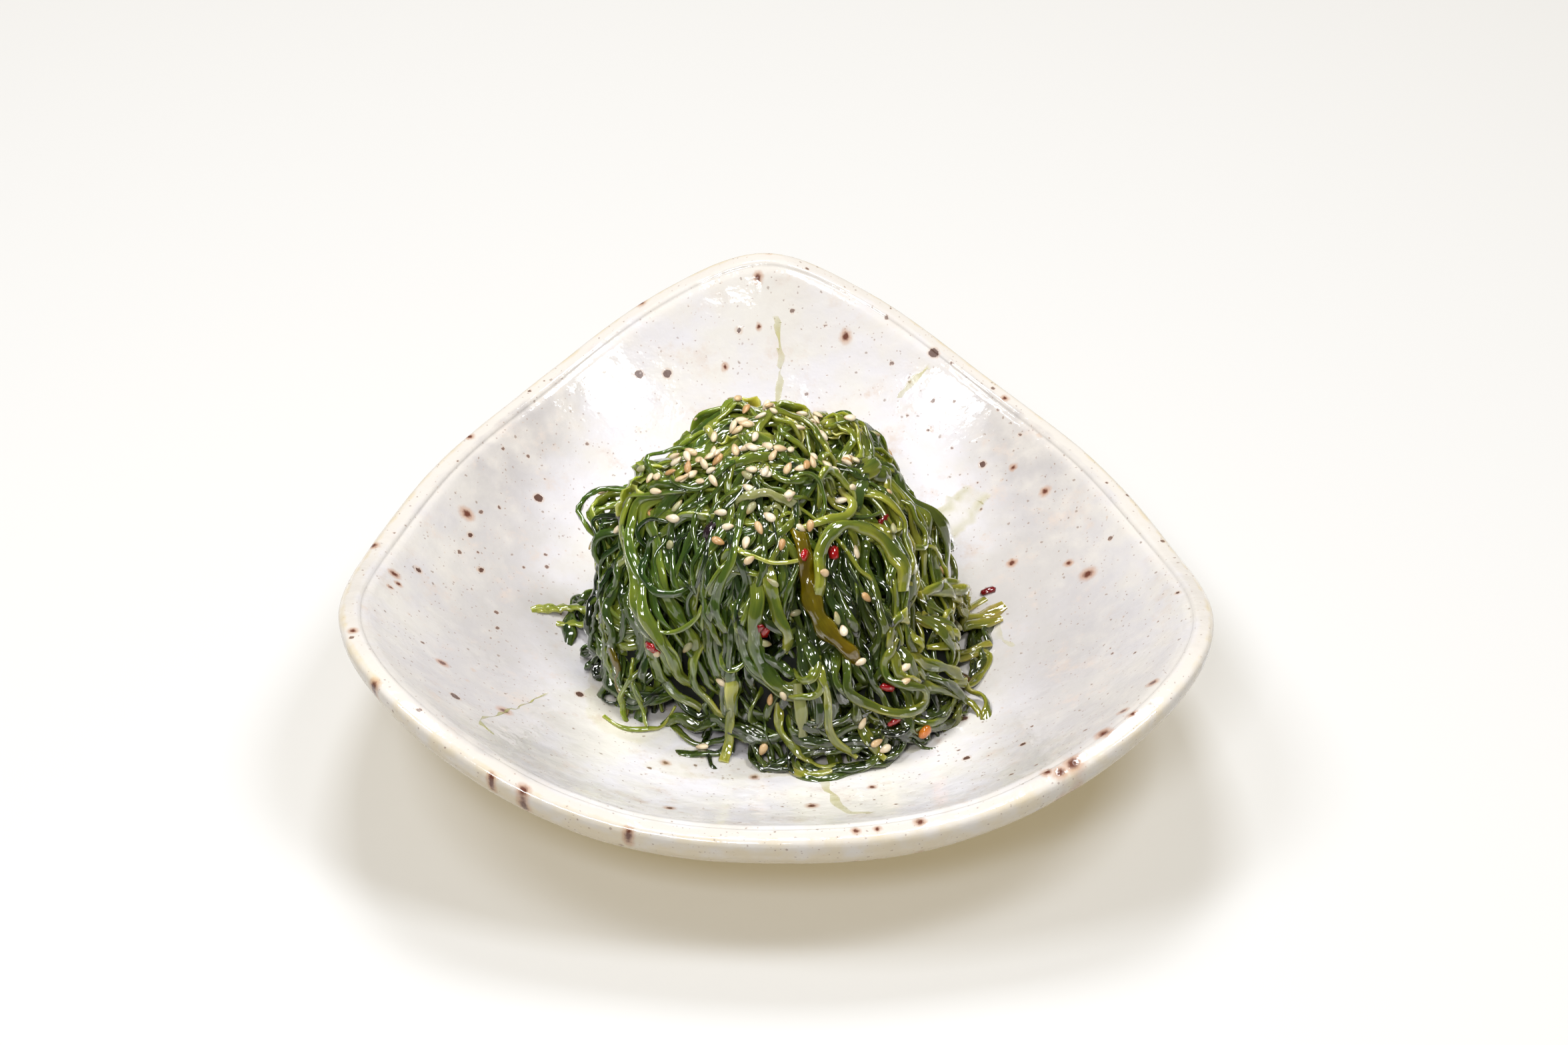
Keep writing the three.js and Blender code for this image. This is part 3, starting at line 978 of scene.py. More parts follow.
class Heap:
    """The salad: strands laid one after another over a smaller core, each resting on those below it."""

    step = 1.05  # between the rings of a strand
    squash = 0.28  # how far strands press into each other
    ceiling = -2.2  # lift above which strands are pressed down
    press = 0.8  # how deep they may then be pressed into those below, as a share of half their thickness
    dive = 6.5  # length over which an end dives between the strands below
    curl_length = 11.0  # length of an end that curls
    cup = 0.14  # hollow across a strand, as a share of its half width
    swing = 25.0  # degrees that falling strands turn towards the front on their way down
    core_gap = 0.4  # between the core and the bowl

    def __init__(self, mound: Mound, seed: int = 11, shell: float = 10.0) -> None:
        """Prepares an empty heap that will fill the mound with a shell of strands over its core."""
        self.mound = mound
        self.shell = shell
        self.chart = Chart(mound, shell)
        self.rng = np.random.default_rng(seed)
        self.swell_middles = flat_course([swell[:2] for swell in SWELLS])
        self.laid: dict[Batch, list[dict[str, Array]]] = {batch: [] for batch in Batch}

    def lay(self, course: Array, build: Strand) -> None:
        """Lays one strand along a course of knots in flat coordinates."""
        rng, chart = self.rng, self.chart
        flat = chart.resampled(smooth_path(course), self.step)
        count = len(flat)
        length = count * self.step
        along = np.arange(count) * self.step
        _, _, _, left_flat = chart.sides(flat)
        away = build.shift * (1 + 0.25 * drift(rng, count, length / 40))
        away = away + build.wander * drift(rng, count, length / 28)
        away = away + build.crimp * drift(rng, count, length / 9)
        away = away + build.cross * length * np.linspace(-0.5, 0.5, count)
        for curl, gone in zip(build.hooks, (along, along[::-1])):
            away = away + curl * np.clip(1 - gone / self.curl_length, 0, 1) ** 2
        flat = chart.resampled(flat + away[:, None] * left_flat, self.step)
        count = len(flat)
        length = count * self.step
        points, normals, left, left_flat = chart.sides(flat)
        along = np.arange(count) * self.step
        half = 0.5 * build.width * np.clip(1 + 0.16 * drift(rng, count, length / 9), 0.6, 1.45)
        thick = 0.5 * build.thickness * np.clip(1 + 0.12 * drift(rng, count, length / 10), 0.6, 1.5)
        near = np.zeros(count)
        for share, gone in zip(build.ends, (along, along[::-1])):
            drawn = 1 - smoothstep(0, 4.0, gone)
            half = half * (1 - (1 - share) * drawn)
            thick = thick * (1 - 0.5 * (1 - share) * drawn)
            near = np.maximum(near, 1 - smoothstep(0, 12, gone))

        offsets = np.array((-1.0, -0.6, -0.2, 0.2, 0.6, 1.0))
        reach = half[:, None] * offsets
        below = chart.tops[chart.cell(flat[:, None, :] + reach[..., None] * left_flat[:, None, :])]
        slope = (below * offsets).sum(axis=1) / (offsets**2).sum() / half
        lean = 0.7 * blurred(np.clip(slope, -0.8, 0.8), 8)
        lean += math.radians(build.twist) * drift(rng, count, length / 26)
        rest = (below - reach * np.sin(lean)[:, None]).max(axis=1) + thick - self.squash
        lift = blurred(rest, 2)
        for _ in range(build.slack):
            wide = widened(lift)
            lift = np.maximum(rest - 0.15, 0.5 * (wide[:-2] + wide[2:]))
        lift = blurred(lift, 4)
        ceiling = np.full(count, self.ceiling)
        for (_, _, spread, height), middle in zip(SWELLS, self.swell_middles):
            ceiling += height * np.exp(-0.5 * ((flat - middle) ** 2).sum(axis=1) / spread**2)
        pressed = np.maximum(ceiling + 0.25 * (lift - ceiling), blurred(rest, 4) - self.press * thick)
        lift = np.where(lift > ceiling, np.minimum(lift, pressed), lift)
        lift += 0.5 * build.crimp * drift(rng, count, length / 8)
        lift += build.proud * np.sin(math.pi * np.linspace(0, 1, count))
        lift -= build.sinks[0] * (1 - smoothstep(0, self.dive, along))
        lift -= build.sinks[1] * (1 - smoothstep(0, self.dive, along[::-1]))

        centre = points + normals * lift[:, None]
        heading = unit(np.gradient(centre, axis=0))
        turn = lean[:, None]
        across = left * np.cos(turn) + normals * np.sin(turn)
        across = unit(across - heading * (across * heading).sum(axis=1, keepdims=True))
        tops = lift[:, None] + thick[:, None] * np.sqrt(1 - 0.6 * offsets**2) + reach * np.sin(lean)[:, None]
        self.raise_tops(flat, left_flat, reach, tops)
        self.laid[build.batch].append({
            "centre": centre, "across": across, "up": np.cross(heading, across),
            "half_width": half, "half_thickness": thick, "along": along,
            "cup": self.cup * drift(rng, count, length / 30), "ruffle": np.full(count, build.ruffle),
            "tone": build.tone + build.pale * near, "lot": np.full(count, rng.uniform(0, 400)),
        })

    def raise_tops(self, flat: Array, left_flat: Array, reach: Array, tops: Array) -> None:
        """Marks the height map where a strand's upper face now lies.

        Args:
            flat: the strand's course.
            left_flat: degrees for a millimetre to its left.
            reach: places across the strand, in millimetres to its left.
            tops: heights at those places.
        """
        twice = np.linspace(0, len(flat) - 1, 2 * len(flat) - 1)
        low = np.minimum(twice.astype(int), len(flat) - 2)
        part = (twice - low)[:, None]
        spots = flat[:, None, :] + reach[..., None] * left_flat[:, None, :]
        spots = spots[low] * (1 - part[..., None]) + spots[low + 1] * part[..., None]
        heights = tops[low] * (1 - part) + tops[low + 1] * part
        np.maximum.at(self.chart.tops, self.chart.cell(spots), heights)

    def lay_bundle(self, bundle: Bundle) -> None:
        """Lays a bundle's strands in a random order across its width."""
        rng = self.rng
        whole = smooth_path(flat_course(bundle.course))
        for place in rng.permutation(bundle.count):
            shift = (place / max(1, bundle.count - 1) - 0.5) * bundle.spread if bundle.count > 1 else 0.0
            start, end = rng.uniform(0, bundle.trim, 2)
            part = whole[round(start * len(whole)) : len(whole) - round(end * len(whole))]
            self.lay(part[:: max(1, len(part) // 10)], replace(
                bundle, width=rng.uniform(*bundle.widths),
                thickness=bundle.thickness * rng.uniform(0.85, 1.15), tone=rng.uniform(*bundle.tones),
                shift=shift + rng.normal(0, 0.08 * bundle.spread),
                cross=rng.normal(0, bundle.crossing), proud=bundle.proud * rng.uniform(0.7, 1.1),
                hooks=tuple(rng.normal(0, bundle.hooking, 2)),
            ))

    def any_strand(self, lot: Lot) -> Strand:
        """Draws the build of a strand that lies anywhere in the heap."""
        rng = self.rng
        return Strand(
            batch=lot.batch, width=float(np.clip(rng.normal(1.85, 0.75), 0.8, 3.8)),
            thickness=rng.uniform(0.85, 1.3), tone=rng.uniform(*lot.tones),
            twist=rng.choice((20.0, 35.0, 70.0), p=(0.6, 0.33, 0.07)), hooks=tuple(rng.normal(0, 2.5, 2)),
            ends=tuple(rng.choice((0.5, 0.85), 2)), sinks=(4.0, 4.0),
            ruffle=rng.choice((0.0, 0.3), p=(0.85, 0.15)), wander=1.2, pale=0.1,
        )

    def walk(self, spot: Array, heading: float, step: float, count: int, bend: float, waver: float) -> Array:
        """Walks over the heap in steps that turn, and along its edge where it gets there.

        Args:
            spot: where it starts, in flat coordinates.
            heading: its first direction in radians.
            step: the length of a step in degrees of drop.
            count: how many steps.
            bend: how far each step turns.
            waver: how far it may turn by chance.

        Returns:
            The course.
        """
        knots = [spot]
        for _ in range(count):
            spot = spot + step * np.array((math.cos(heading), math.sin(heading)))
            far = np.hypot(*spot)
            if far > EDGE:
                spot = spot * (self.rng.uniform(84, 92) / far)
                outward = math.atan2(spot[1], spot[0])
                aside = 1.55  # nearly a right angle
                heading = outward + (aside if math.sin(heading - outward) >= 0 else -aside)
            knots.append(spot)
            heading += bend + self.rng.normal(0, waver)
        return np.array(knots)

    def middle(self, lot: Lot) -> Array:
        """Picks a place for a strand of a lot."""
        return flat_course(((self.rng.uniform(*lot.azimuths), self.rng.uniform(*lot.drops)),))[0]

    def lay_strays(self, lot: Lot) -> None:
        """Lays strands that fall down the flanks or wind round them."""
        rng = self.rng
        for _ in range(lot.count):
            azimuth = math.radians(rng.uniform(*lot.azimuths))
            drop = lot.drops[0] + (lot.drops[1] - lot.drops[0]) * rng.uniform() ** 0.8
            spot = drop * np.array((math.cos(azimuth), math.sin(azimuth)))
            heading = azimuth + rng.normal(0, 0.45)
            if rng.uniform() < 0.35:
                heading += rng.choice((-1.4, 1.4))
            bend, step = rng.normal(0, 0.2), 11
            count = max(3, round(rng.uniform(*lot.reach) / step))
            self.lay(self.walk(spot, heading, step, count, bend, 0.14), self.any_strand(lot))

    def lay_falls(self, lot: Lot) -> None:
        """Lays strands that hang from the crown and swing round towards the front on their way down."""
        rng = self.rng
        for _ in range(lot.count):
            azimuth = rng.uniform(*lot.azimuths)
            drops = np.arange(rng.uniform(*lot.drops), rng.uniform(*lot.ends), 8.0)
            turn = -self.swing * math.sin(math.radians(azimuth + 95)) * (drops - 35) / 50
            turn += np.cumsum(rng.normal(0, 3.2, len(drops)))
            self.lay(flat_course(tuple(zip(azimuth + turn, drops))), self.any_strand(lot))

    def lay_curls(self, lot: Lot) -> None:
        """Lays short strands that curl round into hooks and open rings."""
        rng = self.rng
        for _ in range(lot.count):
            middle = self.middle(lot)
            turns = rng.uniform(0, 2 * math.pi)
            turns = turns + np.linspace(0, rng.choice((-1, 1)) * rng.uniform(2.2, 4.4), 8)
            radii = rng.uniform(4.5, 10) * np.linspace(1, rng.uniform(0.6, 1.5), 8)
            ring = np.stack([np.cos(turns), rng.uniform(0.6, 1) * np.sin(turns)], axis=1)
            build = replace(self.any_strand(lot), width=rng.uniform(0.9, 2.2), proud=rng.uniform(0, 1.6),
                            sinks=(3.5, 3.0), wander=0.5)
            self.lay(middle + radii[:, None] * ring, build)

    def lay_frills(self, lot: Lot) -> None:
        """Lays short broad shreds with frilled margins."""
        rng = self.rng
        for _ in range(lot.count):
            course = self.walk(self.middle(lot), rng.uniform(0, 2 * math.pi), 4.5, 4, 0.0, 0.5)
            self.lay(course, Strand(
                batch=lot.batch, width=rng.uniform(2.6, 4.2), thickness=0.7, tone=rng.uniform(*lot.tones),
                twist=50.0, ruffle=rng.uniform(0.5, 0.9), crimp=0.8, proud=rng.uniform(0.3, 1.2),
                sinks=(2.5, 2.5), pale=0.2, wander=1.2,
            ))

    def lay_drapes(self, lot: Lot) -> None:
        """Lays strands over the crown from one shoulder to the other."""
        rng = self.rng
        for _ in range(lot.count):
            heading = rng.normal(0, 0.8) + rng.choice((0.0, math.pi))
            ahead = np.array((math.cos(heading), math.sin(heading)))
            aside = np.array((-ahead[1], ahead[0]))
            steps = np.linspace(-1, 1, 7)[:, None]
            offset, bow = rng.normal(0, 13), rng.normal(0, 12)
            knots = steps * rng.uniform(20, 48) * ahead + (offset + bow * steps**2) * aside
            self.lay(knots, self.any_strand(lot))

    def core(self) -> Thing:
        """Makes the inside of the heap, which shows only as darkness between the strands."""
        around = np.radians(np.arange(0, 360, 4.0))
        drops = np.concatenate([np.arange(3, 88, 3.0), [EDGE]])
        azimuth, drop = np.meshgrid(around, drops)
        middle = np.array((0.0, 0.0, 26.0))
        lumps = 1.2 * np.sin(5 * azimuth + 0.09 * drop) + 1.2 * np.cos(0.22 * drop + 3 * azimuth)
        away = self.mound.face(azimuth, drop) - middle
        size = np.linalg.norm(away, axis=-1, keepdims=True)
        depth = ((self.shell + 0.8) * (1 - 0.45 * smoothstep(55, 88, drop)) + lumps)[..., None]
        points = middle + away * (size - depth) / size
        bowl = self.mound.bowl
        floor = bowl.inside(azimuth, np.hypot(points[..., 0], points[..., 1])) + self.core_gap
        points[..., 2] = np.maximum(points[..., 2], floor)
        top = (0.0, 0.0, self.mound.crown - self.shell - 1.5)
        cloud = np.vstack([top, points.reshape(-1, 3), (0.0, 0.0, bowl.floor_height + self.core_gap)])
        marks = {"fibre": cloud * 0.4, "tone": np.zeros(len(cloud)), "rim": np.zeros(len(cloud))}
        mesh = raw_mesh("heap_core", cloud, faces=closed_faces(*drop.shape), marks=marks)
        return solid_piece(mesh, PACKED.make())


@dataclass(frozen=True)
class Sweep:
    """The tree that gives strands their bodies: a rounded flat section along each course."""

    sides: int = 8
    squareness: float = 0.75  # under 1, the section's corners fill out
    ruffle_pitch: float = 3.2  # length of a wave in a ruffled margin
    dish: float = 0.4  # share of the hollow across a strand that lies under its middle line

    def tree(self, settings: dict) -> Tree:
        """Builds the tree, whose source is bare lines with each strand's frame on their points."""
        tree, given = start_tree("strand sweep", settings)
        vector = "FLOAT_VECTOR"
        here = add_node(tree, "GeometryNodeInputPosition")
        lines = stored(add_node(tree, "GeometryNodeMeshToCurve", {0: given}), "centre", here, vector)
        circle = {"Resolution": given.out("Sides"), "Radius": 1.0}
        ring = stored(add_node(tree, "GeometryNodeCurvePrimitiveCircle", circle), "section", here, vector)
        ends = {"Curve": lines, "Profile Curve": ring, "Fill Caps": True}
        tube = add_node(tree, "GeometryNodeCurveToMesh", ends)
        centre, section, across, up = named(tree, "centre", "section", "across", "up", kind=vector)
        half_width, half_thickness, cup = named(tree, "half_width", "half_thickness", "cup")
        ruffle, along, lot = named(tree, "ruffle", "along", "lot")
        parts = add_node(tree, "ShaderNodeSeparateXYZ", {0: section})
        wide, high = (
            part.math("ABSOLUTE").math("POWER", given.out("Squareness")) * part.math("SIGN")
            for part in (parts, parts.out(1))
        )
        sideways = wide * half_width
        margin = wide.math("ABSOLUTE")
        dished = wide.math("MULTIPLY_ADD", wide, -self.dish) * (cup * half_width)
        angle = (along / given.out("Ruffle Pitch")).math("MULTIPLY_ADD", 2 * math.pi, wide)
        upward = (angle.math("SINE") * margin).math("MULTIPLY_ADD", ruffle, high * half_thickness + dished)
        beside = centre.vector("ADD", across.vector("SCALE", sideways))
        spot = beside.vector("ADD", up.vector("SCALE", upward))
        shaped = add_node(tree, "GeometryNodeSetPosition", {"Geometry": tube, "Position": spot})
        drawn = {0: sideways * (1 / MM), 1: along * (1 / MM), 2: lot}
        grained = stored(shaped, "fibre", add_node(tree, "ShaderNodeCombineXYZ", drawn), vector)
        return end_tree(given, stored(grained, "rim", margin))

    def build(self, strands: dict[Batch, list[dict[str, Array]]]) -> list[Thing]:
        """Makes a piece from the strands of each batch, given as points and marks."""
        fleshes = {flesh: flesh.make() for flesh in dict.fromkeys(batch.value[1] for batch in strands)}
        settings = {"Sides": self.sides, "Squareness": self.squareness,
                    "Ruffle Pitch": self.ruffle_pitch * MM, "Material": fleshes[WAKAME]}
        tree = self.tree(settings)
        plain, lengths = ("across", "up", "cup", "lot"), ("half_width", "half_thickness", "along", "ruffle")
        pieces = []
        for batch, laid in strands.items():
            name, flesh = batch.value
            joined = {label: np.concatenate([strand[label] for strand in laid]) for label in laid[0]}
            counts = np.array([len(strand["centre"]) for strand in laid])
            ends = np.cumsum(counts) - 1
            starts = np.setdiff1d(np.arange(counts.sum()), ends)
            marks = {label: joined[label] for label in (*plain, "tone")}
            marks.update({label: joined[label] * MM for label in lengths})
            lines = raw_mesh(name, joined["centre"], np.stack([starts, starts + 1], axis=1), marks=marks)
            dressed = settings | {"Material": fleshes[flesh]}
            pieces.append(grown(name, lines, tree, dressed, spent=("centre", "section", *plain, *lengths)))
        return pieces


# ------------------------------ the layout


def tress(*shape: object, **changes: object) -> Bundle:
    """Plans a bundle of flat strands that cling together like wet hair."""
    plain = {"widths": (1.1, 2.9), "thickness": 1.05, "twist": 11.0, "crimp": 0.22, "crossing": 0.04,
             "wander": 1.0, "hooking": 0.8, "trim": 0.08, "slack": 20, "sinks": (4.0, 3.0)}
    return Bundle(*shape, **(plain | changes))


def comb(*shape: object, **changes: object) -> Bundle:
    """Plans a bundle of fine shreds that lie side by side."""
    plain = {"widths": (0.6, 1.4), "thickness": 0.75, "tones": (0.1, 0.45), "batch": Batch.FINE,
             "sinks": (2.0, 2.5), "wander": 2.4, "twist": 30.0, "trim": 0.2, "hooking": 2.5,
             "crossing": 0.08}
    return tress(*shape, **(plain | changes))


def veil(*shape: object, **changes: object) -> Bundle:
    """Plans a loose bundle that runs from the crown down over the front."""
    plain = {"widths": (0.8, 2.2), "tones": (0.2, 0.65), "wander": 2.2, "crossing": 0.1, "hooking": 2.5}
    return tress(*shape, **(plain | changes))


def crowning(*shape: object, **changes: object) -> Bundle:
    """Plans a bundle that lies over the crown."""
    return Bundle(*shape, batch=Batch.CROWN, **changes)


BASE_PLAN = (
    Bundle(((-165, 80), (-150, 84), (-138, 86), (-125, 87)), 5, 5, (0.25, 0.55)),
    Bundle(((-130, 87), (-120, 88), (-112, 87), (-103, 85), (-95, 87), (-86, 91)), 5, 5, (0.2, 0.45)),
    Bundle(((-92, 88), (-80, 91), (-68, 91), (-56, 86)), 5, 5, (0.2, 0.5)),
    Bundle(((-60, 85), (-48, 86), (-38, 86), (-28, 84)), 5, 5, (0.25, 0.5)),
    Bundle(((172, 66), (-176, 74), (-166, 80), (-155, 84)), 6, 7, (0.25, 0.5)),
)

EAR_PLAN = (  # the tuft that stands off the left flank
    Bundle(((-178, 60), (-168, 68), (-157, 75), (-146, 80)), 7, 8, (0.3, 0.6), widths=(1.2, 2.8)),
    Bundle(((168, 52), (175, 58), (-176, 65), (-168, 73)), 8, 8, (0.45, 0.8), proud=1.5, widths=(1.2, 2.6),
        ruffle=0.3, sinks=(4, 3)),
    Bundle(((160, 46), (168, 49), (176, 53), (-178, 58), (-176, 66)), 9, 7, (0.5, 0.85), proud=2.6,
        widths=(1.2, 2.8), ruffle=0.3, sinks=(4, 3)),
    Bundle(((-178, 58), (-168, 60), (-163, 64), (-157, 67), (-150, 69), (-140, 66)), 6, 4, (0.45, 0.75),
        widths=(1.2, 2.8)),
    Bundle(((-171, 73), (-159, 73), (-150, 74), (-141, 69)), 6, 5, (0.45, 0.75), widths=(1.2, 2.8)),
)

FRONT_PLAN = (
    # the lower front, from left to right
    tress(((-142, 50), (-135, 63), (-131, 74), (-128, 86)), 5, 8),
    tress(((-128, 42), (-123, 54), (-120, 63), (-118, 72), (-115, 82)), 5, 7),
    Bundle(((-112, 62), (-109, 72), (-106, 80), (-100, 88)), 4, 6, (0.1, 0.4)),
    Bundle(((-96, 68), (-94, 76), (-96, 88)), 3, 5, (0.1, 0.35)),
    tress(((-119, 42), (-117, 52), (-116, 60), (-114, 68), (-112, 78)), 4, 6, (0.15, 0.45)),
    tress(((-111, 40), (-110, 50), (-108, 60), (-107, 68), (-104, 78)), 5, 7, (0.2, 0.5)),
    tress(((-105, 38), (-104, 50), (-102, 60), (-97, 67), (-89, 71), (-82, 69), (-78, 64)), 5, 4,
        (0.3, 0.6)),
    Bundle(((-82, 52), (-80, 64), (-77, 74), (-76, 88)), 4, 5, (0.1, 0.35)),
    Bundle(((-72, 58), (-68, 66), (-64, 76), (-59, 88)), 4, 5, (0.1, 0.45)),
    Bundle(((-96, 78), (-84, 82), (-70, 82), (-58, 78)), 4, 5, (0.1, 0.4)),
    tress(((-60, 30), (-65, 42), (-66, 54), (-63, 66)), 5, 7, (0.05, 0.3)),
    Bundle(((-48, 40), (-50, 50), (-53, 60), (-57, 70)), 4, 7, (0.05, 0.35)),
    tress(((-78, 28), (-83, 36), (-88, 44), (-92, 52), (-94, 60)), 4, 6, (0.2, 0.45)),
    # the right flank
    Bundle(((25, 28), (14, 42), (4, 54), (-5, 66), (-14, 78), (-20, 88)), 8, 10, (0.3, 0.65)),
    tress(((5, 26), (-4, 38), (-10, 50), (-18, 60), (-27, 70), (-33, 80)), 7, 9, (0.35, 0.7)),
    Bundle(((-24, 38), (-32, 46), (-40, 54), (-44, 62), (-46, 72)), 5, 6, (0.3, 0.6)),
    Bundle(((-30, 60), (-27, 70), (-26, 80), (-30, 88)), 6, 8, (0.3, 0.6)),
    Bundle(((-54, 62), (-51, 71), (-50, 80), (-49, 88)), 4, 5, (0.3, 0.55)),
    Bundle(((-50, 66), (-43, 74), (-36, 82), (-33, 90), (-38, 94), (-44, 90)), 4, 4, (0.35, 0.6), proud=1),
    tress(((-10, 20), (-16, 30), (-20, 40), (-25, 48), (-31, 56), (-38, 62)), 6, 6, (0.45, 0.7),
        widths=(1.6, 2.8)),
    # the fine shiny shreds that hang between the crown and the lower front
    comb(((-52, 24), (-58, 34), (-62, 44), (-64, 54)), 12, 8),
    comb(((-80, 24), (-86, 34), (-91, 43), (-94, 52)), 14, 8),
    comb(((-88, 14), (-98, 30), (-102, 40), (-104, 52)), 16, 9),
    comb(((-104, 12), (-109, 29), (-111, 39), (-112, 48), (-112, 58)), 20, 10),
    comb(((-124, 12), (-122, 29), (-120, 39), (-118, 48), (-118, 57)), 20, 10),
    comb(((-140, 17), (-135, 33), (-130, 42), (-125, 50)), 18, 10),
    comb(((-152, 27), (-148, 36), (-142, 45), (-134, 54)), 18, 9),
    # the sweep that hangs from the left shoulder
    tress(((-146, 20), (-160, 30), (-164, 36), (-158, 42), (-148, 46), (-138, 50), (-129, 55), (-123, 62)),
        8, 8, (0.2, 0.55), widths=(1.3, 2.6)),
    tress(((-140, 14), (-156, 26), (-166, 37), (-163, 43), (-156, 48), (-147, 53), (-139, 59), (-132, 65),
        (-128, 72), (-125, 80), (-118, 87)), 9, 8, (0.3, 0.65), widths=(1.9, 3.7), proud=0.8),
)

CROWN_PLAN = (
    crowning(((150, 36), (140, 24), (110, 16), (70, 18), (50, 28)), 7, 8, (0.4, 0.75)),
    crowning(((60, 34), (40, 32), (22, 33), (2, 28), (-15, 22)), 5, 6, (0.5, 0.75)),
    crowning(((-176, 36), (-175, 28), (-178, 20), (165, 12), (90, 8), (40, 12)), 7, 7, (0.5, 0.8),
        widths=(2.2, 3.6)),
    crowning(((-158, 22), (-140, 14), (-110, 10), (-75, 10), (-50, 14), (-35, 20)), 7, 7, (0.4, 0.7)),
    crowning(((-133, 25), (-134, 20), (-120, 15), (-92, 13), (-66, 14), (-45, 17), (-35, 24)), 7, 6,
        (0.35, 0.65)),
    crowning(((-86, 19), (-69, 18), (-52, 19), (-36, 22), (-25, 27)), 4, 4, (0.4, 0.65)),
)

VEIL_PLAN = (  # strands that run from the crown down over the front
    veil(((-96, 6), (-100, 18), (-104, 30), (-107, 42), (-110, 54), (-108, 64)), 5, 9),
    veil(((-118, 8), (-122, 20), (-122, 32), (-120, 44), (-116, 56), (-113, 66)), 5, 9, widths=(0.8, 2.4)),
    veil(((-142, 10), (-142, 22), (-138, 34), (-131, 46), (-124, 57)), 5, 9, tones=(0.25, 0.65)),
    veil(((-76, 10), (-84, 22), (-90, 34), (-96, 46), (-98, 56)), 3, 7, widths=(0.8, 2), tones=(0.2, 0.5),
        hooking=0.8),
)

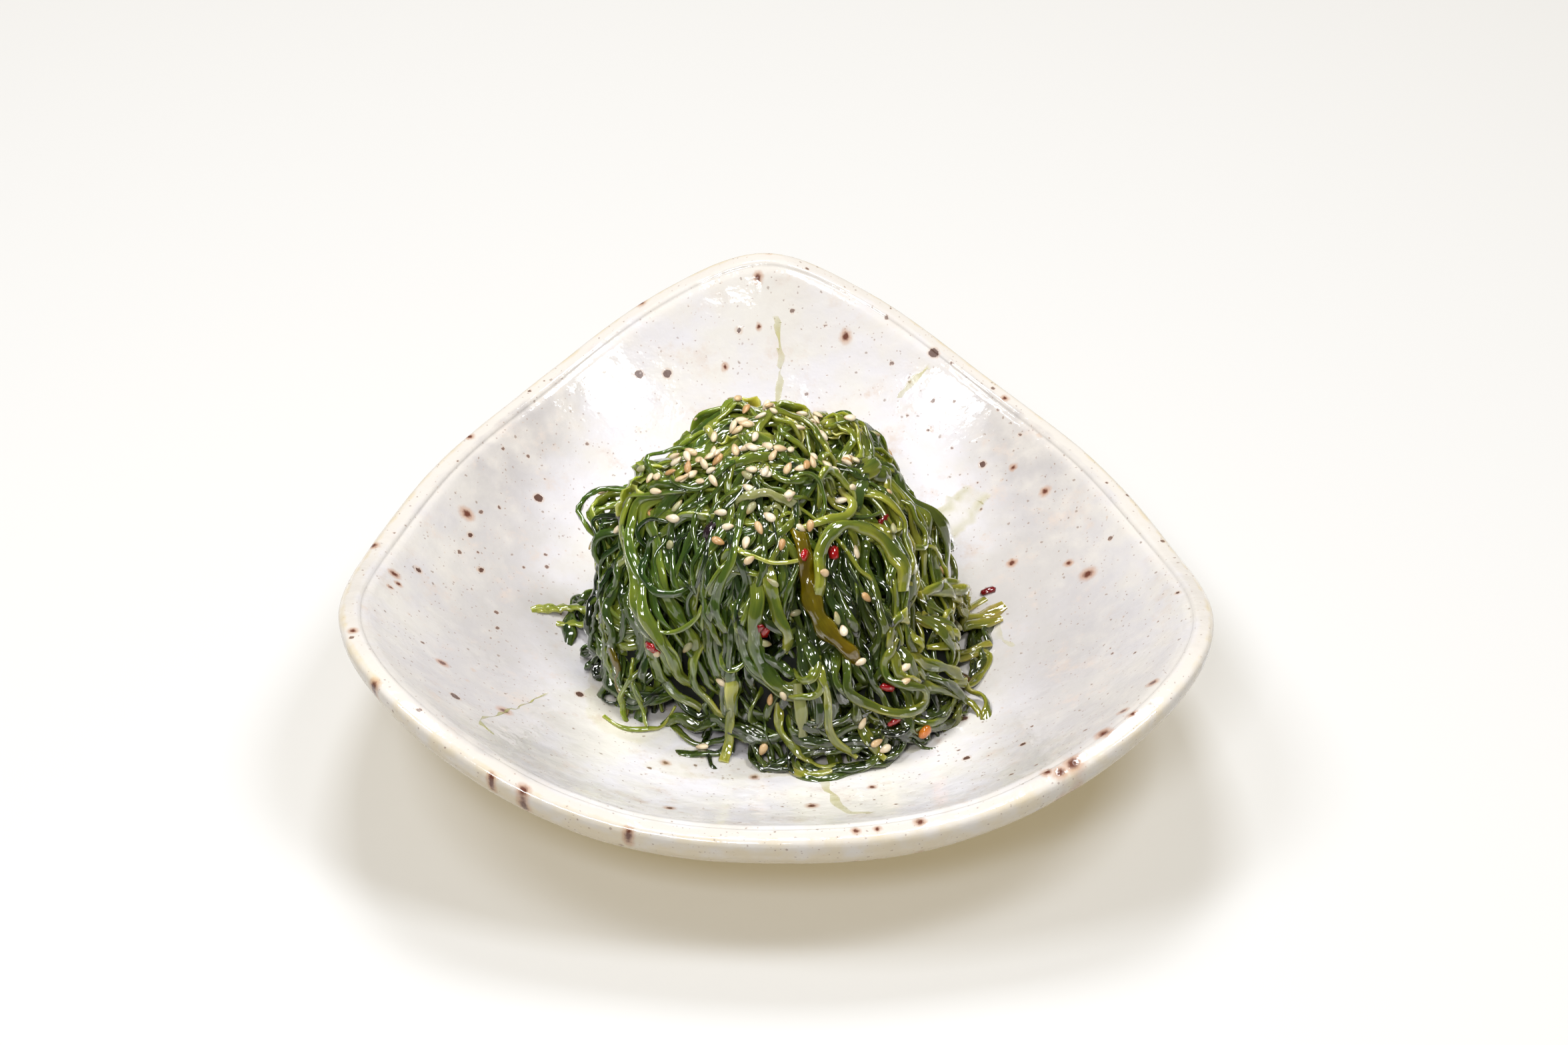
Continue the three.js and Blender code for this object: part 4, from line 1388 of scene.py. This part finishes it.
HERO_PLAN = (
    single(2, 0.3, (-122, 27), (-127, 31), (-128, 35), (-124, 39), batch=Batch.EAR, sinks=(2, 2)),
    single(1.6, 0.4, (-119, 34), (-121, 38), (-118, 42), batch=Batch.EAR, sinks=(2, 2)),
    single(2.6, 0.5, (176, 44), (-178, 48), (-172, 46), (-170, 52), batch=Batch.EAR, ruffle=0.4),
    # strands that stand out of the front
    single(4.4, 0.4, (-80, 27), (-78, 33), (-77, 40), (-77, 46), (-75, 52), (-71, 57), (-67, 62), (-65, 67),
        batch=Batch.OLIVE, ends=(0.9, 0.4), proud=0.6, thickness=1.6),
    single(2.2, 0.55, (-68, 60), (-69, 66), (-69, 71), (-63, 76), (-56, 79), (-50, 79), (-49, 75), (-54, 72),
        (-58, 69), (-57, 65), (-51, 61), proud=1, thickness=1.5, slack=20, pale=0.1),
    single(2.4, 0.72, (-25, 26), (-35, 30), (-45, 31), (-58, 30), (-68, 30), (-76, 30), proud=1,
        thickness=1.6),
    single(3.5, 0.6, (-75, 50), (-72, 42), (-68, 36), (-60, 33), (-51, 34), (-43, 37), (-38, 42), (-37, 47),
        (-39, 52), (-43, 57), proud=2.3, sinks=(4, 0.5), thickness=2, slack=30, twist=5,
        ends=(0.7, 0.95)),
    single(3, 0.7, (-48, 58), (-43, 58), (-38, 60), proud=0.8, sinks=(1, 2), ruffle=0.3),
    single(2.3, 0.65, (-18, 29), (-16, 34), (-17, 39), (-20, 45), (-27, 50), (-35, 54), proud=1),
    single(3.2, 0.6, (-96, 38), (-94, 45), (-91, 51), (-88, 56), (-90, 61), proud=1.2, thickness=1.8),
    single(2, 0.7, (-124, 27), (-113, 23), (-99, 21), (-86, 23), (-77, 27), batch=Batch.STRIP, proud=0.8,
        thickness=0.6, ruffle=0.45, ends=(0.5, 0.5), crimp=0.6),
    single(1.6, 0.6, (-108, 25), (-99, 26), (-92, 25), (-86, 27), batch=Batch.STRIP, proud=0.6,
        thickness=0.6, ruffle=0.4, crimp=0.6),
    single(3.4, 0.5, (-102, 40), (-99, 46), (-99, 52), (-99, 60), (-96, 66), (-91, 70), (-85, 71)),
    single(2.5, 0.6, (-120, 64), (-122, 70), (-121, 77), (-117, 81), (-112, 84), (-107, 82), pale=0.3),
    single(2.7, 0.65, (-106, 68), (-106, 78), (-106, 96), sinks=(1.5, 0), pale=0.3, ends=(0.7, 0.95)),
    single(1, 0.6, (-119, 48), (-121, 55), (-126, 60), (-132, 62), (-135, 58), proud=1.2),
    single(1.9, 0.5, (-92, 73), (-87, 72), (-83, 71), (-79, 70), (-78, 67), (-81, 65), proud=1),
    single(2.2, 0.45, (-88, 66), (-84, 67), (-80, 65), (-77, 61), proud=1),
    single(2.2, 0.65, (-79, 60), (-77, 68), (-76, 77), (-74, 84), (-69, 91), sinks=(3, 0)),
    single(2.7, 0.5, (-85, 68), (-84, 84), batch=Batch.STRIP, sinks=(1, 0.5), ends=(0.7, 0.9)),
    single(2.4, 0.55, (-69, 78), (-66, 85), (-63, 93), sinks=(2, 0)),
    single(2.8, 0.68, (-93, 76), (-91, 83), (-86, 87), (-80, 91), (-74, 93), sinks=(2, 0)),
    single(2.6, 0.68, (-88, 91), (-82, 96), (-75, 95), sinks=(1, 0.5)),
    # loose ends on the bowl
    single(1, 0.6, (-146, 78), (-140, 82), (-136, 88), (-131, 95), sinks=(2, 0)),
    single(1.3, 0.65, (-143, 97), (-136, 98), (-131, 95), (-127, 88), sinks=(0, 2)),
    single(2, 0.65, (-36, 70), (-23, 79), (-10, 96), (-13, 100), (-22, 94), (-36, 82)),
    single(2.4, 0.6, (-32, 68), (-18, 80), (-6, 100), sinks=(2, 0), proud=1, ends=(0.7, 0.9)),
    single(3.4, 0.66, (-25, 60), (-2, 76), (6, 98), (8, 110), sinks=(2, 0), proud=2, thickness=1.6,
        ends=(0.7, 0.9)),
    single(3, 0.62, (-20, 62), (-4, 80), (2, 96), (4, 106), sinks=(2, 0), proud=1, thickness=1.5,
        ends=(0.7, 0.9)),
    single(2.6, 0.6, (-15, 66), (2, 82), (11, 98), (13, 106), sinks=(2, 0), proud=2, ends=(0.7, 0.9)),
    single(2.8, 0.7, (-178, 80), (172, 92), (172, 104), (174, 112), sinks=(3, 0), proud=1.5, ruffle=0.5),
    single(2, 0.75, (-174, 80), (178, 92), (176, 102), sinks=(3, 0), ruffle=0.4),
)


def back_plan(rng: np.random.Generator) -> list[Bundle]:
    """Plans bundles for the flanks and the back in the manner of the front, the lowest first."""
    bundles = [
        Bundle(((first, 89), (first + 20, 91), (first + 40, 88)), 6, 7, batch=Batch.BACK, tones=(0.15, 0.45))
        for first in (-25, 10, 48, 86, 122, 150)
    ]
    for azimuth in (6, 30, 52, 76, 100, 124, 148):
        drops = (20, 36, 52, 66, 80, 91)
        turns = np.cumsum(rng.normal(rng.normal(0, 1.8), 4.5, len(drops)))
        course = tuple((float(azimuth + t), float(d)) for t, d in zip(turns, drops))
        fine = rng.uniform() < 0.35
        bundles.append(Bundle(
            course, 16 if fine else 9, 11, widths=(0.8, 1.6) if fine else (1.8, 3.3), batch=Batch.BACK,
            tones=(0.15, 0.55), proud=float(rng.uniform(0, 1.2)),
        ))
    for azimuth, drop in ((20, 62), (75, 70), (118, 58), (160, 66)):
        course = ((azimuth - 16, drop - 12), (azimuth - 12, drop + 4), (azimuth, drop + 9),
                  (azimuth + 11, drop + 3), (azimuth + 13, drop - 12))
        bundles.append(Bundle(
            course, 3, 5, widths=(2, 3.2), batch=Batch.BACK, tones=(0.4, 0.7), proud=1.8,
        ))
    return bundles


def lay_salad(heap: Heap) -> None:
    """Lays the whole salad, from the strands over the core to the loose ends on top."""

    def lay(plan: Sequence[Bundle]) -> None:
        """Lays bundles in order."""
        for bundle in plan:
            heap.lay_bundle(bundle)

    # painted shade: the underlayer gets the darkest tones, so that the gaps between the strands above look
    # shaded
    heap.lay_strays(Lot(150, Batch.UNDER, (-0.05, 0.25)))
    heap.lay_strays(Lot(45, Batch.UNDER, (-0.05, 0.25), reach=(15, 40), drops=(72, 90)))
    lay(BASE_PLAN + EAR_PLAN)
    lay(back_plan(heap.rng))
    heap.lay_falls(Lot(55, Batch.BACK, (0.15, 0.6), (-10, 190), (8, 50)))
    heap.lay_falls(Lot(48, Batch.FRONT, (0, 0.45), (-185, -5), (8, 50)))
    heap.lay_strays(Lot(6, Batch.STRIP, (0.1, 0.6), (40, 280), reach=(25, 45)))
    heap.lay_strays(Lot(8, Batch.OLIVE, (0.1, 0.7), reach=(30, 55)))
    heap.lay_curls(Lot(16, Batch.BACK, (0.2, 0.7), (0, 180), (30, 85)))
    heap.lay_curls(Lot(12, Batch.FRONT, (0.2, 0.6), (-175, -5), (55, 84)))
    lay(FRONT_PLAN)
    heap.lay_strays(Lot(4, Batch.EAR, (0, 0.6), (0, 180), (40, 80), reach=(8, 16)))
    heap.lay_strays(Lot(5, Batch.FRONT, (0.3, 0.6), (-120, 0), (30, 60), reach=(20, 35)))
    heap.lay_curls(Lot(7, Batch.FRONT, (0.35, 0.75), (-60, 0), (30, 84)))
    heap.lay_curls(Lot(12, Batch.FRONT, (0.2, 0.65), (-150, -85), (26, 62)))
    heap.lay_drapes(Lot(32, Batch.CROWN, (0.3, 0.75)))
    heap.lay_frills(Lot(22, Batch.CROWN, (0.5, 0.85), (95, 195), (8, 38)))
    heap.lay_frills(Lot(10, Batch.CROWN, (0.45, 0.75), (0, 95), (10, 36)))
    lay(CROWN_PLAN + VEIL_PLAN)
    heap.lay_curls(Lot(22, Batch.CROWN, (0.4, 0.85), drops=(0, 32)))
    lay(HERO_PLAN)


# ------------------------------ the sprinkles


@dataclass(frozen=True)
class Grain:
    """One kind of grain: its name, its finish and its shape."""

    name: str
    finish: GrainSkin
    size: tuple[float, float, float]  # length, width and thickness
    pointed: float = 0.0  # how much narrower it is towards its tip
    rough: float = 0.0  # how irregular, as a share of its size
    rings: int = 7
    sides: int = 8

    def body(self) -> Thing:
        """Makes the grain that is repeated, one unit long in each direction, with its tip along +X."""
        rng = np.random.default_rng(5)
        points = [(-0.5, 0.0, 0.0)]
        for angle in np.linspace(0, math.pi, self.rings + 2)[1:-1]:
            x = -0.5 * math.cos(angle)
            girth = 0.5 * math.sin(angle) * (1 - self.pointed * (x + 0.5) ** 1.6)
            for turn in np.arange(self.sides) * 2 * math.pi / self.sides:
                reach = girth * (1 + self.rough * rng.uniform(-1, 1))
                points.append((x, math.cos(turn) * reach, math.sin(turn) * reach))
        points.append((0.5, 0.0, 0.0))
        faces = [face[:1] + face[:0:-1] for face in closed_faces(self.rings, self.sides)]
        mesh = bpy.data.meshes.new(f"one {self.name}")
        mesh.from_pydata(points, [], faces)
        ends = [point[0] + 0.5 for point in points]
        mesh.attributes.new("end", "FLOAT", "POINT").data.foreach_set("value", ends)
        return bpy.data.objects.new(mesh.name, mesh)

    def scatter_tree(self, settings: dict) -> Tree:
        """Builds the tree that puts a grain on each point, which carries the grain's turn, size and tone."""
        tree, given = start_tree(f"{self.name} scatter", settings)
        turn, size = named(tree, "turn", "size", kind="FLOAT_VECTOR")
        one = add_node(tree, "GeometryNodeObjectInfo", {"Object": given.out("Grain")})
        return end_tree(given, add_node(tree, "GeometryNodeInstanceOnPoints", {
            "Points": add_node(tree, "GeometryNodeMeshToPoints", {"Mesh": given}),
            "Instance": one.out("Geometry"),
            "Rotation": add_node(tree, "FunctionNodeEulerToRotation", {0: turn}), "Scale": size,
        }))


SEED = Grain("sesame_seeds", SESAME, (3.2, 2.15, 1.4), pointed=0.4)
CHILLI_BIT = Grain("chilli_flakes", CHILLI, (3.9, 3.1, 1.3), rough=0.3, rings=3, sides=5)
PEPPER_BIT = Grain("orange_pepper_bits", PEPPER, (4.0, 3.3, 2.4), rough=0.06, rings=5, sides=8)

SEED_CLUSTERS = (  # azimuth, drop, spread in degrees, how many
    (-166, 24, 5, 6), (175, 12, 6, 3), (60, 18, 7, 5), (110, 12, 7, 5), (-128, 10, 5, 3),
    (-24, 24, 4.5, 3), (10, 24, 5, 3), (-65, 14, 4.5, 2), (-160, 34, 4.5, 3), (120, 30, 9, 7),
    (70, 38, 9, 6),
)
TOP_SEEDS = (  # azimuth and drop
    (123, 15), (93, 12), (73, 14), (135, 6), (101, 6), (155, 8), (166, 8), (176, 10), (176, 16), (68, 17),
    (62, 30), (54, 22), (29, 22), (38, 28), (172, 30), (-174, 22), (-167, 21), (-169, 23), (-165, 18),
    (-157, 17), (-150, 20), (-171, 26), (-164, 28), (-162, 24), (-157, 24), (-155, 26), (-168, 33),
    (-139, 22), (-154, 12), (-142, 10), (-131, 10), (-130, 7), (-114, 7), (-88, 9), (-63, 8), (-98, 11),
    (-103, 16), (-8, 6), (-12, 14), (9, 23), (11, 28), (10, 26), (-4, 24), (-34, 18), (-24, 22),
    (-25, 24), (-25, 28), (-70, 16), (-63, 16), (-56, 16), (-83, 22),
)
LONE_SEEDS = (  # azimuth, drop, tone: 0 is cream, 0.8 is toasted, 1 is soaked green
    (-148, 32, 0.95), (-145, 35, 0.1), (-125, 28, 0.1), (-108, 25, 0.95), (-96, 27, 0.1), (-117, 31, 0.1),
    (-101, 30, 0.6), (-119, 35, 0.75), (-106, 34, 0.2), (-103, 38, 0.5), (-89, 34, 0.75),
    (-141, 41, 0.95), (-77, 30, 0.2), (-71, 30, 0.65), (-51, 40, 0.3), (-71, 42, 0.5), (-27, 42, 0.9),
    (-8, 38, 0.6), (-83, 22, 0.1), (-119, 17, 0.95), (-114, 20, 0.1), (-103, 16, 0.05), (-84, 51, 0.95),
    (-93, 43, 0.95), (-132, 68, 0.3), (-111, 72, 0.3), (-124, 66, 0.95), (-90, 72, 0.2), (-95, 75, 0.7),
    (-114, 93, 0.3), (-95, 89, 0.6), (-96, 59, 0.9), (-69, 53, 0.9), (-68, 56, 0.05), (-57, 50, 0.7),
    (-65, 64, 0.15), (-52, 68, 0.2), (-54, 71, 0.5), (-67, 80, 0.3), (-62, 89, 0.1), (-64, 86, 0.6),
    (-80, 78, 0.9), (168, 54, 0.2), (-178, 62, 0.1), (-168, 66, 0.6), (-172, 50, 0.2),
)
CHILLI_SPOTS = (  # azimuth and drop
    (-134, 66), (-133, 67), (-98, 55), (-96, 56), (-78, 37), (-62, 38), (-59, 72), (15, 108), (-59, 82),
    (-23, 40), (60, 50), (120, 62), (150, 45), (95, 78),
)
PEPPER_SPOTS = ((-51, 88), (100, 66))


class Sprinkle:
    """Grains that lie on the finished heap."""

    def __init__(self, heap: Heap, grain: Grain) -> None:
        """Starts an empty sprinkle of one kind of grain."""
        self.heap = heap
        self.grain = grain
        self.rows: list[dict[str, object]] = []

    def drop_on(self, azimuth: float, drop: float, tone: float) -> None:
        """Lets one grain of a tone come to rest on the heap."""
        chart, rng, size = self.heap.chart, self.heap.rng, self.grain.size
        spot = flat_course(((azimuth, drop),))
        points, normals = chart.read(chart.points, spot)[0], chart.read(chart.normals, spot)[0]
        degrees = chart.read(chart.degrees, spot)[0]
        heading = rng.normal(0, 1, 3)
        heading = unit(heading - normals * (heading @ normals))
        left = np.cross(normals, heading)
        ring = np.array([(0, 0), (0.4, 0), (-0.4, 0), (0, 0.4), (0, -0.4)])
        feet = ring[:, :1] * size[0] * heading + ring[:, 1:] * size[1] * left
        lifts = chart.tops[chart.cell(spot + feet @ degrees.T)]
        falls = np.array((lifts[1] - lifts[2], lifts[3] - lifts[4])) / (0.8 * np.array(size[:2]))
        lean_x, lean_y = np.clip(0.6 * falls, -0.6, 0.6)
        along = heading + normals * lean_x
        along, up = unit(along), unit(np.cross(along, left + normals * lean_y))
        lift = 0.5 * (lifts.max() + lifts.mean()) + 0.38 * size[2]
        turn = Matrix(np.stack([along, np.cross(up, along), up], axis=1).tolist()).to_euler("XYZ")
        around = np.stack(np.meshgrid(np.linspace(-1, 1, 5), np.linspace(-1, 1, 5)), axis=-1).reshape(-1, 2)
        cover = around[:, :1] * 0.4 * size[0] * along + around[:, 1:] * 0.4 * size[1] * np.cross(up, along)
        np.maximum.at(chart.tops, chart.cell(spot + cover @ degrees.T), lift + 0.4 * size[2])
        grown_by = rng.uniform(0.88, 1.12, 3)
        self.rows.append({"at": points + normals * lift, "turn": tuple(turn), "tone": tone,
                          "size": np.array(size) * grown_by * MM})

    def build(self) -> Thing:
        """Makes one piece of all the grains."""
        labels = ("turn", "size", "tone")
        marks = {label: np.array([row[label] for row in self.rows], float) for label in labels}
        source = raw_mesh(self.grain.name, np.array([row["at"] for row in self.rows]), marks=marks)
        body = self.grain.body()
        settings = {"Grain": body, "Material": self.grain.finish.make()}
        piece = grown(self.grain.name, source, self.grain.scatter_tree(settings), settings, ("turn", "size"))
        bpy.data.meshes.remove(body.data)
        return piece


def scatter_sprinkles(heap: Heap) -> list[Thing]:
    """Scatters chilli, orange pepper and sesame over the heap and makes a piece of each."""
    rng = heap.rng
    chilli, pepper, seeds = (Sprinkle(heap, grain) for grain in (CHILLI_BIT, PEPPER_BIT, SEED))
    for azimuth, drop in CHILLI_SPOTS:
        chilli.drop_on(azimuth, drop, rng.uniform(0, 1))
    for azimuth, drop in PEPPER_SPOTS:
        pepper.drop_on(azimuth, drop, rng.uniform(0, 1))
    for azimuth, drop in TOP_SEEDS:
        seeds.drop_on(azimuth, drop, rng.choice((0.05, 0.3, 0.5, 0.72), p=(0.4, 0.35, 0.15, 0.1)))
    for azimuth, drop, tone in LONE_SEEDS:
        seeds.drop_on(azimuth, drop, tone)
    for azimuth, drop, spread, count in SEED_CLUSTERS:
        middle = flat_course(((azimuth, drop),))[0]
        for _ in range(count):
            east, north = middle + rng.normal(0, spread, 2)
            tone = rng.choice((0.05, 0.3, 0.55, 0.75, 0.95), p=(0.35, 0.35, 0.15, 0.08, 0.07))
            seeds.drop_on(math.degrees(math.atan2(north, east)), math.hypot(east, north), tone)
    for _ in range(26):
        seeds.drop_on(rng.uniform(-10, 190), rng.uniform(30, 88), rng.choice((0.1, 0.4, 0.7, 0.95)))
    return [sprinkle.build() for sprinkle in (chilli, pepper, seeds)]


# ------------------------------ the dressing


@dataclass(frozen=True)
class Run:
    """Dressing on the bowl: a patch between two edges, given by azimuths and distances from the axis."""

    left: tuple[Place, ...]
    right: tuple[Place, ...]
    depth: float = 0.1
    deep_ends: Span = (1.0, 1.0)  # how strong the bead is at the left and right edges
    bead: float = 0.12  # how broad the beads are, as a share of the patch


@dataclass(frozen=True)
class Dressing:
    """All the dressing on the bowl."""

    bowl: Bowl
    runs: tuple[Run, ...]
    across: int = 14
    along: int = 70

    def build(self) -> Thing:
        """Makes the runs as one mesh of closed, slightly domed sheets that dip into the glaze below."""
        rng = np.random.default_rng(23)
        points, faces, marks = [], [], []
        for run in self.runs:
            edges = []
            for places in (run.left, run.right):
                curve = smooth_path(flat_course(places))
                at = np.linspace(0, len(curve) - 1, self.along)
                edge = np.stack([np.interp(at, np.arange(len(curve)), curve[:, k]) for k in (0, 1)], axis=1)
                waver = np.stack([drift(rng, self.along, 9), drift(rng, self.along, 9)], axis=1)
                edges.append(edge + 0.5 * waver)
            share = np.linspace(0, 1, self.across)
            sheet = edges[0][:, None] * (1 - share)[:, None] + edges[1][:, None] * share[:, None]
            x, y = sheet[..., 0], sheet[..., 1]
            floor = self.bowl.inside(np.arctan2(y, x), np.hypot(x, y))
            end = np.linspace(0, 1, self.along)[:, None]
            near = np.minimum(6 * np.minimum(share, 1 - share)[None], 12 * np.minimum(end, 1 - end))
            dome = np.sqrt(np.clip(near, 0, 1))
            bead = run.deep_ends[0] * np.exp(-((share[None] - 0.2) / run.bead) ** 2)
            bead = bead + run.deep_ends[1] * np.exp(-((share[None] - 0.8) / run.bead) ** 2)
            lift = -0.25 + dome * (0.33 + run.depth * (0.5 + 0.5 * bead))
            first = sum(len(block) for block in points)
            top = np.concatenate([sheet, (floor + lift)[..., None]], axis=-1).reshape(-1, 3)
            under = np.concatenate([sheet, (floor - 0.4)[..., None]], axis=-1).reshape(-1, 3)
            points += [top, under]
            marks += [(smoothstep(0.5, 1.0, near) * np.clip(0.15 + 0.85 * bead, 0, 1)).ravel()] * 2
            size, wide = self.along * self.across, self.across
            for i in range(self.along - 1):
                for j in range(self.across - 1):
                    a = first + i * wide + j
                    faces.append((a, a + wide, a + wide + 1, a + 1))
                    faces.append((a + size, a + size + 1, a + size + wide + 1, a + size + wide))
            loop = [i * wide for i in range(self.along)]
            loop += [(self.along - 1) * wide + j for j in range(1, wide)]
            loop += [i * wide + wide - 1 for i in range(self.along - 2, -1, -1)]
            loop += list(range(wide - 2, 0, -1))
            for a, b in zip(loop, loop[1:] + loop[:1]):
                faces.append((first + a, first + a + size, first + b + size, first + b))
        marks = {"depth": np.concatenate(marks)}
        mesh = raw_mesh("dressing_on_bowl", np.vstack(points), faces=faces, marks=marks)
        turn_outwards(mesh)
        return solid_piece(mesh, DressingFilm().make())


def turn_outwards(mesh: Mesh) -> None:
    """Turns the faces of a mesh of closed shells outwards."""
    shells = bmesh.new()
    shells.from_mesh(mesh)
    bmesh.ops.recalc_face_normals(shells, faces=shells.faces)
    shells.to_mesh(mesh)
    shells.free()


DRESSING_RUNS = (
    Run(((-172, 40), (-160, 42), (-148, 41), (-136, 41), (-124, 42)),
        ((-166, 46), (-156, 50), (-146, 55), (-137, 56), (-126, 52)), 0.05, (0.0, 0.1)),
    Run(((-157, 56), (-150, 68.5), (-146, 78.6), (-142, 86.6), (-136, 86)),
        ((-156, 58), (-149, 70.2), (-145, 80.4), (-141, 88.6), (-136, 87.6)), bead=0.6),
    Run(((-78, 45), (-80, 60), (-79.5, 73), (-76.5, 80.4), (-72, 80), (-68, 73)),
        ((-75, 45), (-78, 60), (-77.6, 72), (-75.6, 78.6), (-72, 78.4), (-69.6, 72)), 0.05, (0.4, 0.4), 0.6),
    Run(((89, 96), (88.4, 90), (88.2, 84), (88.2, 76), (87, 40)),
        ((88, 96), (87.2, 90), (86.8, 84), (86.6, 76), (84, 40)), 0.05, (0.4, 0.4), 0.6),
    Run(((62.5, 94), (65.6, 86), (67.6, 80), (69.6, 73), (72, 45)),
        ((61.6, 94), (64.2, 86), (65.8, 80), (67.4, 73), (66, 45)), 0.05, (0.3, 0.3), 0.6),
    Run(((32, 40), (34, 54), (35, 64), (38, 72)), ((56, 40), (50, 54), (48, 64), (45, 72)), 0.1, (0.5, 0.7)),
    Run(((-60, 42), (-40, 44), (-15, 46), (10, 46)), ((-58, 56), (-40, 60), (-14, 62), (12, 58)), 0.1,
        (0.1, 0.3)),
    Run(((-122, 42), (-110, 42), (-95, 42), (-80, 42)), ((-124, 62), (-112, 60), (-96, 54), (-82, 52)), 0.1,
        (0.1, 0.2)),
)


# ------------------------------ the studio


@dataclass(frozen=True)
class Softbox:
    """A soft lamp above the table."""

    name: str
    azimuth: float
    height: float  # degrees above the table
    size: tuple[float, float]  # metres, across and up
    watts: float
    distance: float = 1.2


@dataclass(frozen=True)
class Studio:
    """The stage: a matt table that is faintly lit from below to soften shadows, lights, room and camera."""

    boxes: tuple[Softbox, ...] = (
        Softbox("right softbox", -19, 67, (0.28, 0.34), 7.6),
        Softbox("left softbox", -171, 62, (0.30, 0.38), 6.3),
        Softbox("front softbox", -104, 47, (0.28, 0.22), 6.8),
        Softbox("back softbox", 95, 66, (0.30, 0.30), 8.4),
    )
    table: float = 3.0  # metres from its middle to each side
    sheet: str = "#AFB3BA"
    below: str = "#FFE8B4"
    glow: float = 0.27
    sky: str = "#FFFFFF"
    sky_low: float = 0.07  # how bright the room is at the height of the table
    sky_high: float = 0.1  # how much brighter it is straight above
    sky_gather: float = 4.0  # the higher, the more of that light comes from straight above
    eye_height: float = 39.13  # degrees above the table
    eye_turn: float = 2.52  # degrees to the left of straight ahead
    eye_distance: float = 0.888
    tilt: float = 1.599  # degrees that the picture leans
    lens: float = 84.95
    sensor: float = 36.0
    shift: tuple[float, float] = (0.00622, 0.02085)

    def build(self, bowl: Bowl) -> None:
        """Makes the table, the lights, the sky and the camera, which looks at the bowl."""
        mesh = bpy.data.meshes.new("table")
        corners = [(x * self.table, y * self.table, 0) for x, y in ((-1, -1), (1, -1), (1, 1), (-1, 1))]
        mesh.from_pydata(corners, [], [(0, 1, 2, 3)])
        material, tree, where = empty_material("back lit white acrylic")
        end_material(tree, {
            "Base Color": colour(self.sheet), "Roughness": 0.6, "IOR": 1.45,
            "Normal": bump(noise(where, 900.0), 0.05, strength=0.1),
            "Emission Color": colour(self.below), "Emission Strength": self.glow,
        })
        mesh.materials.append(material)
        placed("table", mesh)

        middle = Vector((0, AXIS_Y * MM, bowl.rim_height * MM))
        for box in self.boxes:
            rise, turn = math.radians(box.height), math.radians(box.azimuth)
            away = Vector((math.cos(rise) * math.cos(turn), math.cos(rise) * math.sin(turn), math.sin(rise)))
            lamp = bpy.data.lights.new(box.name, "AREA")
            lamp.shape = "RECTANGLE"
            lamp.size, lamp.size_y = box.size
            lamp.energy = box.watts
            holder = placed(box.name, lamp)
            holder.location = middle + away * box.distance
            holder.rotation_euler = away.to_track_quat("Z", "Y").to_euler()

        world = bpy.data.worlds.new("soft white room")
        world.use_nodes = True
        tree = world.node_tree
        tree.nodes.clear()
        heading = add_node(tree, "ShaderNodeTexCoord").out("Generated")
        height = add_node(tree, "ShaderNodeSeparateXYZ", {0: heading}).out(2).math("MAXIMUM", 0.0)
        gathered = height.math("POWER", self.sky_gather)
        glow = gathered.math("MULTIPLY_ADD", self.sky_high, self.sky_low)
        sky = add_node(tree, "ShaderNodeBackground", {"Color": colour(self.sky), "Strength": glow})
        add_node(tree, "ShaderNodeOutputWorld", {"Surface": sky})
        bpy.context.scene.world = world
        bpy.context.scene.view_settings.view_transform = "Standard"

        rise, turn = math.radians(self.eye_height), math.radians(self.eye_turn)
        away = Vector((-math.cos(rise) * math.sin(turn), -math.cos(rise) * math.cos(turn), math.sin(rise)))
        right = Vector((math.cos(turn), -math.sin(turn), 0))
        up = away.cross(right)
        lean = math.radians(self.tilt)
        x_axis = right * math.cos(lean) + up * math.sin(lean)
        y_axis = away.cross(x_axis)
        eye = bpy.data.cameras.new("camera")
        eye.lens, eye.sensor_width = self.lens, self.sensor
        eye.shift_x, eye.shift_y = self.shift
        camera = placed("camera", eye)
        turned = Matrix((x_axis, y_axis, away)).transposed()
        camera.matrix_world = Matrix.Translation(middle + away * self.eye_distance) @ turned.to_4x4()
        bpy.context.scene.camera = camera


def main() -> None:
    """Builds the studio, the bowl, the salad, the sprinkles and the dressing in order."""
    logging.basicConfig(level=logging.INFO, format="%(message)s")
    bowl = Bowl()
    Studio().build(bowl)
    hand_over(bowl.build(), "bowl")
    heap = Heap(Mound(bowl))
    lay_salad(heap)
    salad = [heap.core(), *Sweep().build(heap.laid), *scatter_sprinkles(heap)]
    for piece in (*salad, Dressing(bowl, DRESSING_RUNS).build()):
        hand_over(piece, "seaweed")


if __name__ == "__main__":
    main()
